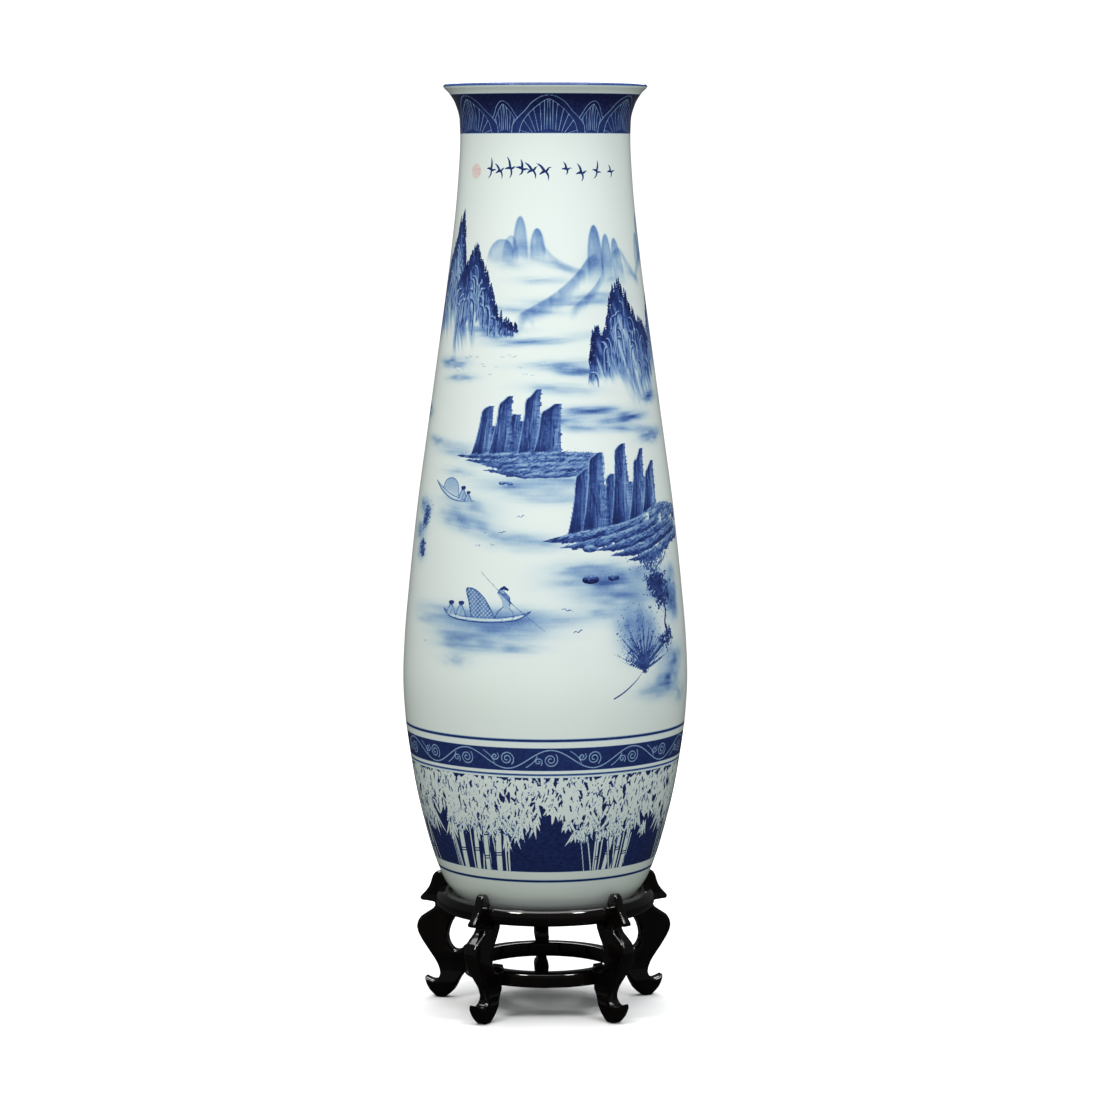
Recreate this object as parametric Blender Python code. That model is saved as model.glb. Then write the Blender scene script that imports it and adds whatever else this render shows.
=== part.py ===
"""A tall porcelain floor vase on a five-legged lacquered wooden stand.

Metres, +Z up. The origin is on the floor, on the vase's axis. The front faces
-Y, midway between two legs. The legs, ring arcs, loose tongues and dowels make
the stand. The vase stands loose in the recess of the stand's top ring.
"""

import math

import bmesh
import bpy
from mathutils import Matrix, Vector

MM = 0.001

# Fits
GAP = 0.3 * MM
JOINT_GAP = 0.3 * MM

# Vase
VASE_HEIGHT = 1400 * MM
BELLY_RADIUS = 245.5 * MM
NECK_RADIUS = 144.3 * MM
MOUTH_RADIUS = 174 * MM
FOOT_RADIUS = 150 * MM
VASE_WALL = 9 * MM
VASE_FLOOR = 16 * MM
FOOT_RING_WIDTH = 13 * MM
FOOT_RING_DEPTH = 7 * MM
FOOT_EDGE = 1.5 * MM
LIP_HALF = 5.5 * MM

# Fineness of the curved solids
VASE_SIDES = 48
OUTER_RINGS = 26
INNER_RINGS = 20
LIP_STEPS = 6
ARC_STEPS = 12
PANEL_SIDES = 60

# Stand: top ring and the panel in its recess
SEAT_HEIGHT = 190 * MM
RIM_HEIGHT = 12 * MM
PANEL_THICKNESS = 10 * MM
LEDGE_DEPTH = 9 * MM
LEDGE_WIDTH = 10 * MM
SEAT_MARGIN = 18 * MM
RING_WIDTH = 22 * MM
RING_SHELL = 8 * MM

# Stand: lower ring
LOWER_RING_INSET = 48 * MM
LOWER_RING_WIDTH = 27 * MM
LOWER_RING_BOTTOM = 57 * MM
LOWER_RING_HEIGHT = 25 * MM

# Stand: legs
LEG_COUNT = 5
LEG_THICKNESS = 26 * MM
LEG_CHAMFER = 3 * MM
EAR_RISE = 22 * MM
EAR_REACH = 37 * MM
EAR_HOOK = 5 * MM
KNEE_REACH = 42 * MM
SOLE_WIDTH = 15 * MM
BRACKET_REACH = 28 * MM

# Joinery
TONGUE_THICKNESS = 10 * MM
TONGUE_LENGTH = 28 * MM
TONGUE_EDGE = 6 * MM
DOWEL_RADIUS = 3.5 * MM
DOWEL_LENGTH = 36 * MM
DOWEL_SIDES = 16

# Worked out from the sizes above
SEAT_RADIUS = FOOT_RADIUS + SEAT_MARGIN
RING_RADIUS = SEAT_RADIUS + RING_WIDTH
CORE_RADIUS = RING_RADIUS - RING_SHELL
LOWER_RING_RADIUS = RING_RADIUS - LOWER_RING_INSET
RING_TOP = SEAT_HEIGHT + RIM_HEIGHT
PANEL_BOTTOM = SEAT_HEIGHT - PANEL_THICKNESS
RING_BOTTOM = PANEL_BOTTOM - LEDGE_DEPTH
LOWER_RING_TOP = LOWER_RING_BOTTOM + LOWER_RING_HEIGHT
VASE_BASE = SEAT_HEIGHT + GAP
LIP_START = VASE_HEIGHT - LIP_HALF
LEG_STEP = 2 * math.pi / LEG_COUNT
FIRST_LEG = LEG_STEP / 2


def clear_scene():
    for item in list(bpy.data.objects):
        bpy.data.objects.remove(item, do_unlink=True)


def make_material(name, colour, roughness):
    material = bpy.data.materials.new(name)
    material.use_nodes = True
    shader = material.node_tree.nodes["Principled BSDF"]
    shader.inputs["Base Color"].default_value = (*colour, 1.0)
    shader.inputs["Roughness"].default_value = roughness
    shader.inputs["Metallic"].default_value = 0.0
    material.diffuse_color = (*colour, 1.0)
    return material


def from_front(angle):
    """Unit vector on the floor, turned by angle from the front towards +X."""
    return Vector((math.sin(angle), -math.cos(angle), 0.0))


def turn(angle):
    """Rotation about Z that carries +X to the direction from_front(angle)."""
    return Matrix.Rotation(angle - math.pi / 2, 4, "Z")


def add_object(name, mesh, material, matrix=None):
    item = bpy.data.objects.new(name, mesh)
    bpy.context.scene.collection.objects.link(item)
    item.matrix_world = matrix or Matrix.Identity(4)
    item.data.materials.clear()
    item.data.materials.append(material)
    return item


def finish_mesh(name, shape, crease=math.radians(35)):
    bmesh.ops.recalc_face_normals(shape, faces=shape.faces)
    mesh = bpy.data.meshes.new(name)
    shape.to_mesh(mesh)
    shape.free()
    mesh.shade_smooth()
    mesh.set_sharp_from_angle(angle=crease)
    return mesh


def lathe_mesh(name, profile, sides):
    """A solid of revolution. The profile starts and ends on the axis."""
    shape = bmesh.new()
    rings = []
    for radius, height in profile:
        if radius == 0.0:
            rings.append([shape.verts.new((0, 0, height))])
            continue
        rings.append([])
        for side in range(sides):
            place = from_front(2 * math.pi * side / sides) * radius
            rings[-1].append(shape.verts.new((place.x, place.y, height)))
    for lower, upper in zip(rings, rings[1:]):
        for side in range(sides):
            following = (side + 1) % sides
            corners = [lower[side % len(lower)], lower[following % len(lower)],
                       upper[following % len(upper)], upper[side % len(upper)]]
            shape.faces.new(list(dict.fromkeys(corners)))
    return finish_mesh(name, shape)


def arc_mesh(name, section, span, steps):
    """A section of (radius, height) points swept about Z, centred on +X."""
    shape = bmesh.new()
    rings = []
    for step in range(steps + 1):
        angle = span * (step / steps - 0.5)
        rings.append([shape.verts.new((radius * math.cos(angle),
                                       radius * math.sin(angle), height))
                      for radius, height in section])
    count = len(section)
    for first, second in zip(rings, rings[1:]):
        for index in range(count):
            following = (index + 1) % count
            shape.faces.new((first[index], first[following],
                             second[following], second[index]))
    shape.faces.new(rings[0])
    shape.faces.new(rings[-1])
    return finish_mesh(name, shape)


def box_mesh(name, low, high):
    shape = bmesh.new()
    size = Vector(high) - Vector(low)
    centre = (Vector(high) + Vector(low)) / 2
    bmesh.ops.create_cube(shape, size=1.0, matrix=Matrix.Translation(centre)
                          @ Matrix.Diagonal((*size, 1.0)))
    return finish_mesh(name, shape)


def rod_mesh(name, radius, length, sides=DOWEL_SIDES):
    """A rod along Z, from its origin upwards."""
    shape = bmesh.new()
    bmesh.ops.create_cone(shape, cap_ends=True, segments=sides, radius1=radius,
                          radius2=radius, depth=length,
                          matrix=Matrix.Translation((0, 0, length / 2)))
    return finish_mesh(name, shape)


def cut(item, mesh, matrix):
    """Subtract a mesh, placed in the world by matrix, from an object."""
    cutter = bpy.data.objects.new(item.name + "_cutter", mesh)
    bpy.context.scene.collection.objects.link(cutter)
    cutter.matrix_world = matrix
    cutter.hide_render = True
    cutter.display_type = "WIRE"
    step = item.modifiers.new("cut", "BOOLEAN")
    step.operation = "DIFFERENCE"
    step.solver = "EXACT"
    step.object = cutter


def smooth_run(points, steps):
    """Points on a Catmull-Rom curve through the given (x, y) points."""
    padded = [points[0]] + list(points) + [points[-1]]
    run = []
    for index in range(len(points) - 1):
        a, b, c, d = [Vector(point) for point in padded[index:index + 4]]
        for step in range(steps):
            t = step / steps
            run.append(tuple(0.5 * (2 * b + (c - a) * t
                                    + (2 * a - 5 * b + 4 * c - d) * t ** 2
                                    + (3 * b - a - 3 * c + d) * t ** 3)))
    run.append(tuple(points[-1]))
    return run


# Vase -----------------------------------------------------------------------

def wall_stations():
    """(height, outer radius) of the vase wall, from the foot to the lip."""
    rising = [(0.0, 0.0), (0.024, 0.267), (0.0707, 0.524), (0.1714, 0.854), (0.27, 1.0)]
    falling = [(0.439, 0.822), (0.616, 0.501), (0.792, 0.172), (0.879, 0.046)]
    flaring = [(0.946, 0.0), (0.968, 0.158), (0.979, 0.36), (0.989, 0.663)]
    stations = [(share * VASE_HEIGHT, FOOT_RADIUS + (BELLY_RADIUS - FOOT_RADIUS) * part)
                for share, part in rising]
    stations += [(share * VASE_HEIGHT, NECK_RADIUS + (BELLY_RADIUS - NECK_RADIUS) * part)
                 for share, part in falling]
    stations += [(share * VASE_HEIGHT, NECK_RADIUS + (MOUTH_RADIUS - NECK_RADIUS) * part)
                 for share, part in flaring]
    return stations + [(LIP_START, MOUTH_RADIUS)]


def station_slopes(stations):
    """Slopes of a curve through the stations that never overshoots them."""
    chords = [(b[1] - a[1]) / (b[0] - a[0]) for a, b in zip(stations, stations[1:])]
    slopes = [chords[0]]
    for before, after in zip(chords, chords[1:]):
        turning = before * after <= 0
        slopes.append(0.0 if turning else 2 * before * after / (before + after))
    return slopes + [chords[-1]]


def wall_at(height, stations, slopes):
    """Outer radius of the wall and its slope at a height above the foot."""
    index = 0
    while index < len(stations) - 2 and height > stations[index + 1][0]:
        index += 1
    (low, start), (high, end) = stations[index], stations[index + 1]
    rise = high - low
    t = (height - low) / rise
    first, last = slopes[index] * rise, slopes[index + 1] * rise
    bend = 2 * (start - end) + first + last
    turn_in = -3 * (start - end) - 2 * first - last
    radius = start + t * (first + t * (turn_in + t * bend))
    slope = (first + t * (2 * turn_in + 3 * t * bend)) / rise
    return radius, slope


def ring_heights(low, high, count, crowding):
    """Heights from low to high, crowded towards both ends."""
    heights = []
    for step in range(count + 1):
        even = step / count
        eased = 0.5 - 0.5 * math.cos(math.pi * even)
        heights.append(low + (high - low) * (even + (eased - even) * crowding))
    return heights


def vase_profile():
    stations = wall_stations()
    slopes = station_slopes(stations)
    foot_inner = FOOT_RADIUS - FOOT_RING_WIDTH
    profile = [(0.0, FOOT_RING_DEPTH),
               (foot_inner - FOOT_RING_DEPTH / 2, FOOT_RING_DEPTH),
               (foot_inner, 0.0),
               (FOOT_RADIUS - FOOT_EDGE, 0.0)]
    for height in ring_heights(FOOT_EDGE, LIP_START, OUTER_RINGS, 0.9):
        profile.append((wall_at(height, stations, slopes)[0], height))
    inner = []
    for height in ring_heights(VASE_FLOOR + VASE_WALL, LIP_START - LIP_HALF, INNER_RINGS, 0.8):
        radius, slope = wall_at(height, stations, slopes)
        inner.append((radius - VASE_WALL * math.hypot(1.0, slope), height))
    lip_inner = inner[-1][0] + LIP_HALF
    lip_middle = (MOUTH_RADIUS + lip_inner) / 2
    for step in range(1, LIP_STEPS):
        angle = math.pi * step / LIP_STEPS
        profile.append((lip_middle + (MOUTH_RADIUS - lip_middle) * math.cos(angle),
                        LIP_START + LIP_HALF * math.sin(angle)))
    profile += reversed(inner)
    floor_radius = inner[0][0] - VASE_WALL
    profile += [(floor_radius, VASE_FLOOR), (0.0, VASE_FLOOR)]
    return profile


def build_vase(glaze):
    mesh = lathe_mesh("vase_body", vase_profile(), VASE_SIDES)
    add_object("vase_body", mesh, glaze, Matrix.Translation((0, 0, VASE_BASE)))


# Stand ----------------------------------------------------------------------

def top_ring_section():
    """The rail's section: a ledge for the panel inside, a half-round outside."""
    ledge_inner = SEAT_RADIUS - LEDGE_WIDTH
    moulding_height = RING_TOP - RING_BOTTOM
    section = [(ledge_inner, RING_BOTTOM)]
    for step in range(7):
        angle = math.pi * (step / 6 - 0.5)
        section.append((CORE_RADIUS - RING_SHELL / 4 + RING_SHELL * 1.25 * math.cos(angle),
                        RING_BOTTOM + moulding_height * (0.5 + 0.5 * math.sin(angle))))
    section += [(SEAT_RADIUS, RING_TOP),
                (SEAT_RADIUS, PANEL_BOTTOM - GAP),
                (ledge_inner, PANEL_BOTTOM - GAP)]
    return section


def lower_ring_section():
    """The lower rail's section, with its outer top edge rounded off."""
    inner = LOWER_RING_RADIUS - LOWER_RING_WIDTH
    edge = LOWER_RING_HEIGHT / 4
    section = [(inner, LOWER_RING_BOTTOM), (LOWER_RING_RADIUS, LOWER_RING_BOTTOM)]
    for step in range(4):
        angle = math.pi / 2 * step / 3
        section.append((LOWER_RING_RADIUS - edge + edge * math.cos(angle),
                        LOWER_RING_TOP - edge + edge * math.sin(angle)))
    return section + [(inner, LOWER_RING_TOP)]


def tongue_box(name, low, high, clearance):
    """A straight loose tongue across the joint plane, on the +X axis."""
    half = TONGUE_LENGTH / 2 + clearance
    return box_mesh(name, (low[0] - clearance, -half, low[1] - clearance),
                    (high[0] + clearance, half, high[1] + clearance))


def build_ring(rail_name, tongue_name, section, joint_radius, tongue_low, tongue_high, woods):
    """Five arcs that meet midway between the legs, with loose tongues across."""
    span = LEG_STEP - JOINT_GAP / joint_radius
    rail_wood, tongue_wood = woods
    rails = []
    for index in range(LEG_COUNT):
        leg_angle = FIRST_LEG + index * LEG_STEP
        mesh = arc_mesh(rail_name, section, span, ARC_STEPS)
        rail = add_object(f"{rail_name}_{index + 1}", mesh, rail_wood, turn(leg_angle))
        for side in (-1, 1):
            joint = turn(leg_angle + side * LEG_STEP / 2)
            cut(rail, tongue_box("mortise", tongue_low, tongue_high, GAP), joint)
        tongue = tongue_box(tongue_name, tongue_low, tongue_high, 0.0)
        add_object(f"{tongue_name}_{index + 1}", tongue, tongue_wood,
                   turn(leg_angle + LEG_STEP / 2))
        rails.append(rail)
    return rails


def leg_outline():
    """The leg's side view as (radius, height) points, once round."""
    bracket_top = RING_BOTTOM - GAP
    slot = CORE_RADIUS + GAP
    seat = LOWER_RING_RADIUS + GAP
    ear_top = RING_TOP + EAR_RISE
    ear_tip = RING_RADIUS + EAR_REACH
    knee = RING_RADIUS + KNEE_REACH
    knee_height = (bracket_top + LOWER_RING_TOP) / 2 - 3 * MM
    ankle = RING_RADIUS
    ankle_height = LOWER_RING_BOTTOM - 17 * MM
    sole = RING_RADIUS + 6 * MM
    bay = RING_RADIUS - 13 * MM
    ear = smooth_run([(slot - EAR_HOOK, RING_TOP + 5 * MM),
                      (slot + 2 * MM, ear_top - 3 * MM),
                      (RING_RADIUS + 4 * MM, ear_top),
                      (RING_RADIUS + 13 * MM, ear_top - 7 * MM),
                      (RING_RADIUS + 21 * MM, RING_TOP - 7 * MM),
                      (ear_tip, bracket_top + 6 * MM)], 3)
    front = smooth_run([(ear_tip - 2 * MM, bracket_top),
                        (RING_RADIUS + 18 * MM, bracket_top - 1 * MM),
                        (RING_RADIUS + 9 * MM, bracket_top - 3 * MM),
                        (RING_RADIUS + 12 * MM, bracket_top - 13 * MM),
                        (knee - 7 * MM, knee_height + 19 * MM),
                        (knee, knee_height),
                        (knee - 8 * MM, knee_height - 20 * MM),
                        (knee - 24 * MM, knee_height - 43 * MM),
                        (ankle + 5 * MM, ankle_height + 18 * MM),
                        (ankle, ankle_height),
                        (ankle + 7 * MM, ankle_height - 9 * MM),
                        (ankle + 17 * MM, ankle_height - 9 * MM),
                        (ankle + 28 * MM, ankle_height - 4 * MM)], 2)
    toe = smooth_run([(ankle + 26 * MM, ankle_height - 14 * MM),
                      (ankle + 19 * MM, ankle_height - 28 * MM),
                      (sole, 0.0)], 3)
    back = smooth_run([(sole - SOLE_WIDTH, 0.0),
                       (sole - SOLE_WIDTH - 15 * MM, 13 * MM),
                       (seat + 12 * MM, LOWER_RING_BOTTOM - 22 * MM),
                       (seat, LOWER_RING_BOTTOM - 7 * MM)], 2)
    spur = [(seat, LOWER_RING_TOP + 4 * MM), (seat + 2 * MM, LOWER_RING_TOP + 15 * MM)]
    inside = smooth_run([(seat + 7 * MM, LOWER_RING_TOP + 7 * MM),
                         (seat + 19 * MM, LOWER_RING_TOP + 3 * MM),
                         (bay - 5 * MM, LOWER_RING_TOP + 11 * MM),
                         (bay, knee_height - 14 * MM),
                         (bay - 5 * MM, knee_height + 6 * MM),
                         (bay - 14 * MM, bracket_top - 26 * MM),
                         (slot - BRACKET_REACH, bracket_top - 10 * MM)], 3)
    top = [(slot - BRACKET_REACH, bracket_top), (slot, bracket_top),
           (slot, RING_TOP + GAP), (slot - EAR_HOOK, RING_TOP + GAP)]
    return ear + front + toe + back + spur + inside + top


def leg_mesh():
    shape = bmesh.new()
    near = [shape.verts.new((radius, -LEG_THICKNESS / 2, height))
            for radius, height in leg_outline()]
    far = [shape.verts.new((corner.co.x, LEG_THICKNESS / 2, corner.co.z)) for corner in near]
    count = len(near)
    for index in range(count):
        following = (index + 1) % count
        shape.faces.new((near[index], near[following], far[following], far[index]))
    shape.faces.new(near)
    shape.faces.new(far)
    weight = shape.edges.layers.float.new("bevel_weight_edge")
    for edge in shape.edges:
        first, last = edge.verts
        edge[weight] = 1.0 if first.co.y == last.co.y else 0.0
    return finish_mesh("leg", shape)


def build_leg(index, wood):
    placed = turn(FIRST_LEG + index * LEG_STEP)
    leg = add_object(f"leg_{index + 1}", leg_mesh(), wood, placed)
    chamfer = leg.modifiers.new("chamfer", "BEVEL")
    chamfer.width = LEG_CHAMFER
    chamfer.segments = 1
    chamfer.limit_method = "WEIGHT"
    return leg


def dowel_places(index):
    """Where a leg's two dowels start: upright into the rail, radial into the lower ring."""
    placed = turn(FIRST_LEG + index * LEG_STEP)
    upright_radius = (SEAT_RADIUS + CORE_RADIUS) / 2
    upright = Matrix.Translation((upright_radius, 0, RING_BOTTOM - DOWEL_LENGTH / 2))
    start = Vector((LOWER_RING_RADIUS - DOWEL_LENGTH / 2, 0,
                    LOWER_RING_BOTTOM + LOWER_RING_HEIGHT / 2))
    radial = Matrix.Translation(start) @ Matrix.Rotation(math.pi / 2, 4, "Y")
    return placed @ upright, placed @ radial


def dowel_hole():
    """A dowel's hole: clear of it all round and past both ends."""
    mesh = rod_mesh("dowel_hole", DOWEL_RADIUS + GAP, DOWEL_LENGTH + 2 * GAP)
    mesh.transform(Matrix.Translation((0, 0, -GAP)))
    return mesh


def build_stand(lacquer, dark_lacquer, bare_wood, dowel_wood):
    tongue_top = RING_TOP - TONGUE_EDGE
    tongue_inner = (SEAT_RADIUS + RING_RADIUS - TONGUE_THICKNESS) / 2
    rails = build_ring("top_rail", "rail_tongue", top_ring_section(), CORE_RADIUS,
                       (tongue_inner, RING_BOTTOM + TONGUE_EDGE),
                       (tongue_inner + TONGUE_THICKNESS, tongue_top),
                       (lacquer, bare_wood))
    lower_inner = LOWER_RING_RADIUS - (LOWER_RING_WIDTH + TONGUE_THICKNESS) / 2
    stretchers = build_ring("stretcher", "stretcher_tongue", lower_ring_section(),
                            LOWER_RING_RADIUS,
                            (lower_inner, LOWER_RING_BOTTOM + TONGUE_EDGE),
                            (lower_inner + TONGUE_THICKNESS, LOWER_RING_TOP - TONGUE_EDGE),
                            (lacquer, bare_wood))
    slot_half = LEG_THICKNESS / 2 + GAP
    slot_reach = 2 * RING_SHELL
    for index in range(LEG_COUNT):
        leg = build_leg(index, lacquer)
        placed = turn(FIRST_LEG + index * LEG_STEP)
        slot = box_mesh("slot", (CORE_RADIUS, -slot_half, RING_BOTTOM - slot_reach),
                        (RING_RADIUS + slot_reach, slot_half, RING_TOP + slot_reach))
        cut(rails[index], slot, placed)
        upright, radial = dowel_places(index)
        cut(rails[index], dowel_hole(), upright)
        cut(leg, dowel_hole(), upright)
        cut(stretchers[index], dowel_hole(), radial)
        cut(leg, dowel_hole(), radial)
        add_object(f"leg_dowel_{index + 1}",
                   rod_mesh("leg_dowel", DOWEL_RADIUS, DOWEL_LENGTH), dowel_wood, upright)
        add_object(f"stretcher_dowel_{index + 1}",
                   rod_mesh("stretcher_dowel", DOWEL_RADIUS, DOWEL_LENGTH), dowel_wood, radial)
    panel = lathe_mesh("seat_panel", [(0.0, PANEL_BOTTOM), (SEAT_RADIUS - GAP, PANEL_BOTTOM),
                                      (SEAT_RADIUS - GAP, SEAT_HEIGHT), (0.0, SEAT_HEIGHT)],
                       PANEL_SIDES)
    add_object("seat_panel", panel, dark_lacquer)


def main():
    clear_scene()
    build_vase(make_material("blue_white_glaze", (0.72, 0.79, 0.80), 0.12))
    build_stand(make_material("black_lacquer", (0.012, 0.008, 0.007), 0.15),
                make_material("seat_lacquer", (0.02, 0.016, 0.014), 0.25),
                make_material("tongue_wood", (0.30, 0.17, 0.09), 0.6),
                make_material("dowel_wood", (0.48, 0.33, 0.19), 0.6))


main()
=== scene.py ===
"""Looks of a blue-and-white porcelain floor vase on a black lacquered stand.

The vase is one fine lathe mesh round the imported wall. Its cobalt painting is laid by brush
strokes and washes onto the mesh's own points, as the channels of the attribute "paint":
red is wash, green is brushwork, blue is the brushwork's tone, alpha is the red of the sun.
Angles are degrees from the front towards +X, and heights are millimetres over the floor.
"""

import math

import bmesh
import bpy
import numpy as np
from mathutils import Matrix, Vector


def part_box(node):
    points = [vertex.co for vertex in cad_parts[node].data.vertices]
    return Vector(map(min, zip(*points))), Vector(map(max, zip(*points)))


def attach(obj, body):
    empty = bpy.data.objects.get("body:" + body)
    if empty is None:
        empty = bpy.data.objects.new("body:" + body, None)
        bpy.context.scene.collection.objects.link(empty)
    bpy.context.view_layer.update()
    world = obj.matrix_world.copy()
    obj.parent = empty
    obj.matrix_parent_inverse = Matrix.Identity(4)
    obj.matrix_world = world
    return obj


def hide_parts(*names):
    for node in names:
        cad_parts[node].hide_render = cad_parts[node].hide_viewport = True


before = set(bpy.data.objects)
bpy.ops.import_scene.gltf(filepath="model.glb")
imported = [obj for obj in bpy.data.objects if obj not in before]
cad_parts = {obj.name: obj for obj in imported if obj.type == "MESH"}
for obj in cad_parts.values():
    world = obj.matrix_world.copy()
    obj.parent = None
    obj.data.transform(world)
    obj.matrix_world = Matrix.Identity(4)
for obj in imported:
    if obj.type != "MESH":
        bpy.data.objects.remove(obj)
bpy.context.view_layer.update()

MM = 0.001

# Vase mesh: steps in mm, and the half angle that is finely divided
FINE_STEP = 1.7
COARSE_STEP = 3.0
FINE_HALF = 88.0
BELLY_RADIUS = 235.0
BAND_ROW = 1.35
SCENE_ROW = 1.85
PLAIN_ROW = 4.0
LIP_ROWS = 14
INNER_ROWS = 44
BISCUIT_ROWS = (3, 8)

# Brushwork: the softness in mm of a crisp edge
CELL = 1.8

# Painted bands, by height
FOOT_LINE = 251.0
BAMBOO_LOW = 268.0
BAMBOO_HIGH = 435.0
BAMBOO_LINE = 440.0
SCROLL_LOW = 447.6
SCROLL_HIGH = 486.0
SCROLL_LINE = 499.0
GEESE_HEIGHT = 1444.0
SCENE_TOP = 1468.0
LOTUS_LOW = 1506.0
LOTUS_HIGH = 1572.0
RIM_LINE = 1587.0
RIM_TONE = 0.86
ARCHES = 6
SCROLLS = 20
PALE = 0.42

# Stand
LEGS = 5
LEG_STEP = 72.0
FIRST_LEG = 36.0
LEG_VOXEL = 1.7 * MM
MOULDING = 15 * MM
LEDGE = 10 * MM
LOWER_RING = 27 * MM
SLOT_HALF = 8.2 * MM
SLOT_DEPTH = 8 * MM
JOINT_GAP = 0.05 * MM

# View and light
EYE_HEIGHT = 1.460
EYE_DISTANCE = 6.339
VIEW_TURN = math.radians(2.2)
VIEW_TILT = math.radians(6.0)
LENS = 121.1
SENSOR = 36.0
SIDE_SHIFT = 0.0043


# Small helpers ----------------------------------------------------------------

def ease(value, low, high):
    """0 below low, 1 above high, smooth between."""
    share = np.clip((value - low) / (high - low), 0.0, 1.0)
    return share * share * (3.0 - 2.0 * share)


def lattice(columns, rows, seed):
    """A repeatable random value for each whole-number place."""
    mixed = np.sin(columns * 127.1 + rows * 311.7 + seed * 74.7) * 43758.5453
    return mixed - np.floor(mixed)


def grain(x, y, wide, tall, seed):
    """A smooth random field from 0 to 1, with features wide by tall."""
    u, v = np.broadcast_arrays(x / wide, y / tall)
    left, low = np.floor(u), np.floor(v)
    across, up = u - left, v - low
    across = across * across * (3 - 2 * across)
    up = up * up * (3 - 2 * up)
    bottom = lattice(left, low, seed) * (1 - across) + lattice(left + 1, low, seed) * across
    top = lattice(left, low + 1, seed) * (1 - across) + lattice(left + 1, low + 1, seed) * across
    return bottom * (1 - up) + top * up


def smooth_run(points, steps=6):
    """Points on a Catmull-Rom curve through the given points."""
    places = np.asarray(points, float)
    padded = np.vstack((places[:1], places, places[-1:]))
    run = []
    for a, b, c, d in zip(padded, padded[1:], padded[2:], padded[3:]):
        for t in np.arange(steps) / steps:
            run.append(0.5 * (2 * b + (c - a) * t + (2 * a - 5 * b + 4 * c - d) * t ** 2
                              + (3 * b - a - 3 * c + d) * t ** 3))
    run.append(places[-1])
    return np.array(run)


def line_distance(x, y, line, halves):
    """Distance from a polyline's edge, whose half width changes along it."""
    nearest = np.full(np.broadcast(x, y).shape, 1e6)
    for (ax, ay), (bx, by), first, last in zip(line, line[1:], halves, halves[1:]):
        dx, dy = bx - ax, by - ay
        along = np.clip(((x - ax) * dx + (y - ay) * dy) / (dx * dx + dy * dy + 1e-9), 0, 1)
        gap = np.hypot(x - ax - along * dx, y - ay - along * dy)
        nearest = np.minimum(nearest, gap - first - (last - first) * along)
    return nearest


def shape_distance(x, y, outline):
    """Distance from a closed outline, negative inside."""
    ring = np.vstack((outline, outline[:1]))
    away = line_distance(x, y, ring, np.zeros(len(ring)))
    inside = np.zeros(away.shape, bool)
    for (ax, ay), (bx, by) in zip(ring, ring[1:]):
        crossing = (ay > y) != (by > y)
        reach = ax + (y - ay) * (bx - ax) / (by - ay + 1e-9)
        inside ^= crossing & (x < reach)
    return np.where(inside, -away, away)


# Painting ---------------------------------------------------------------------

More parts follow.
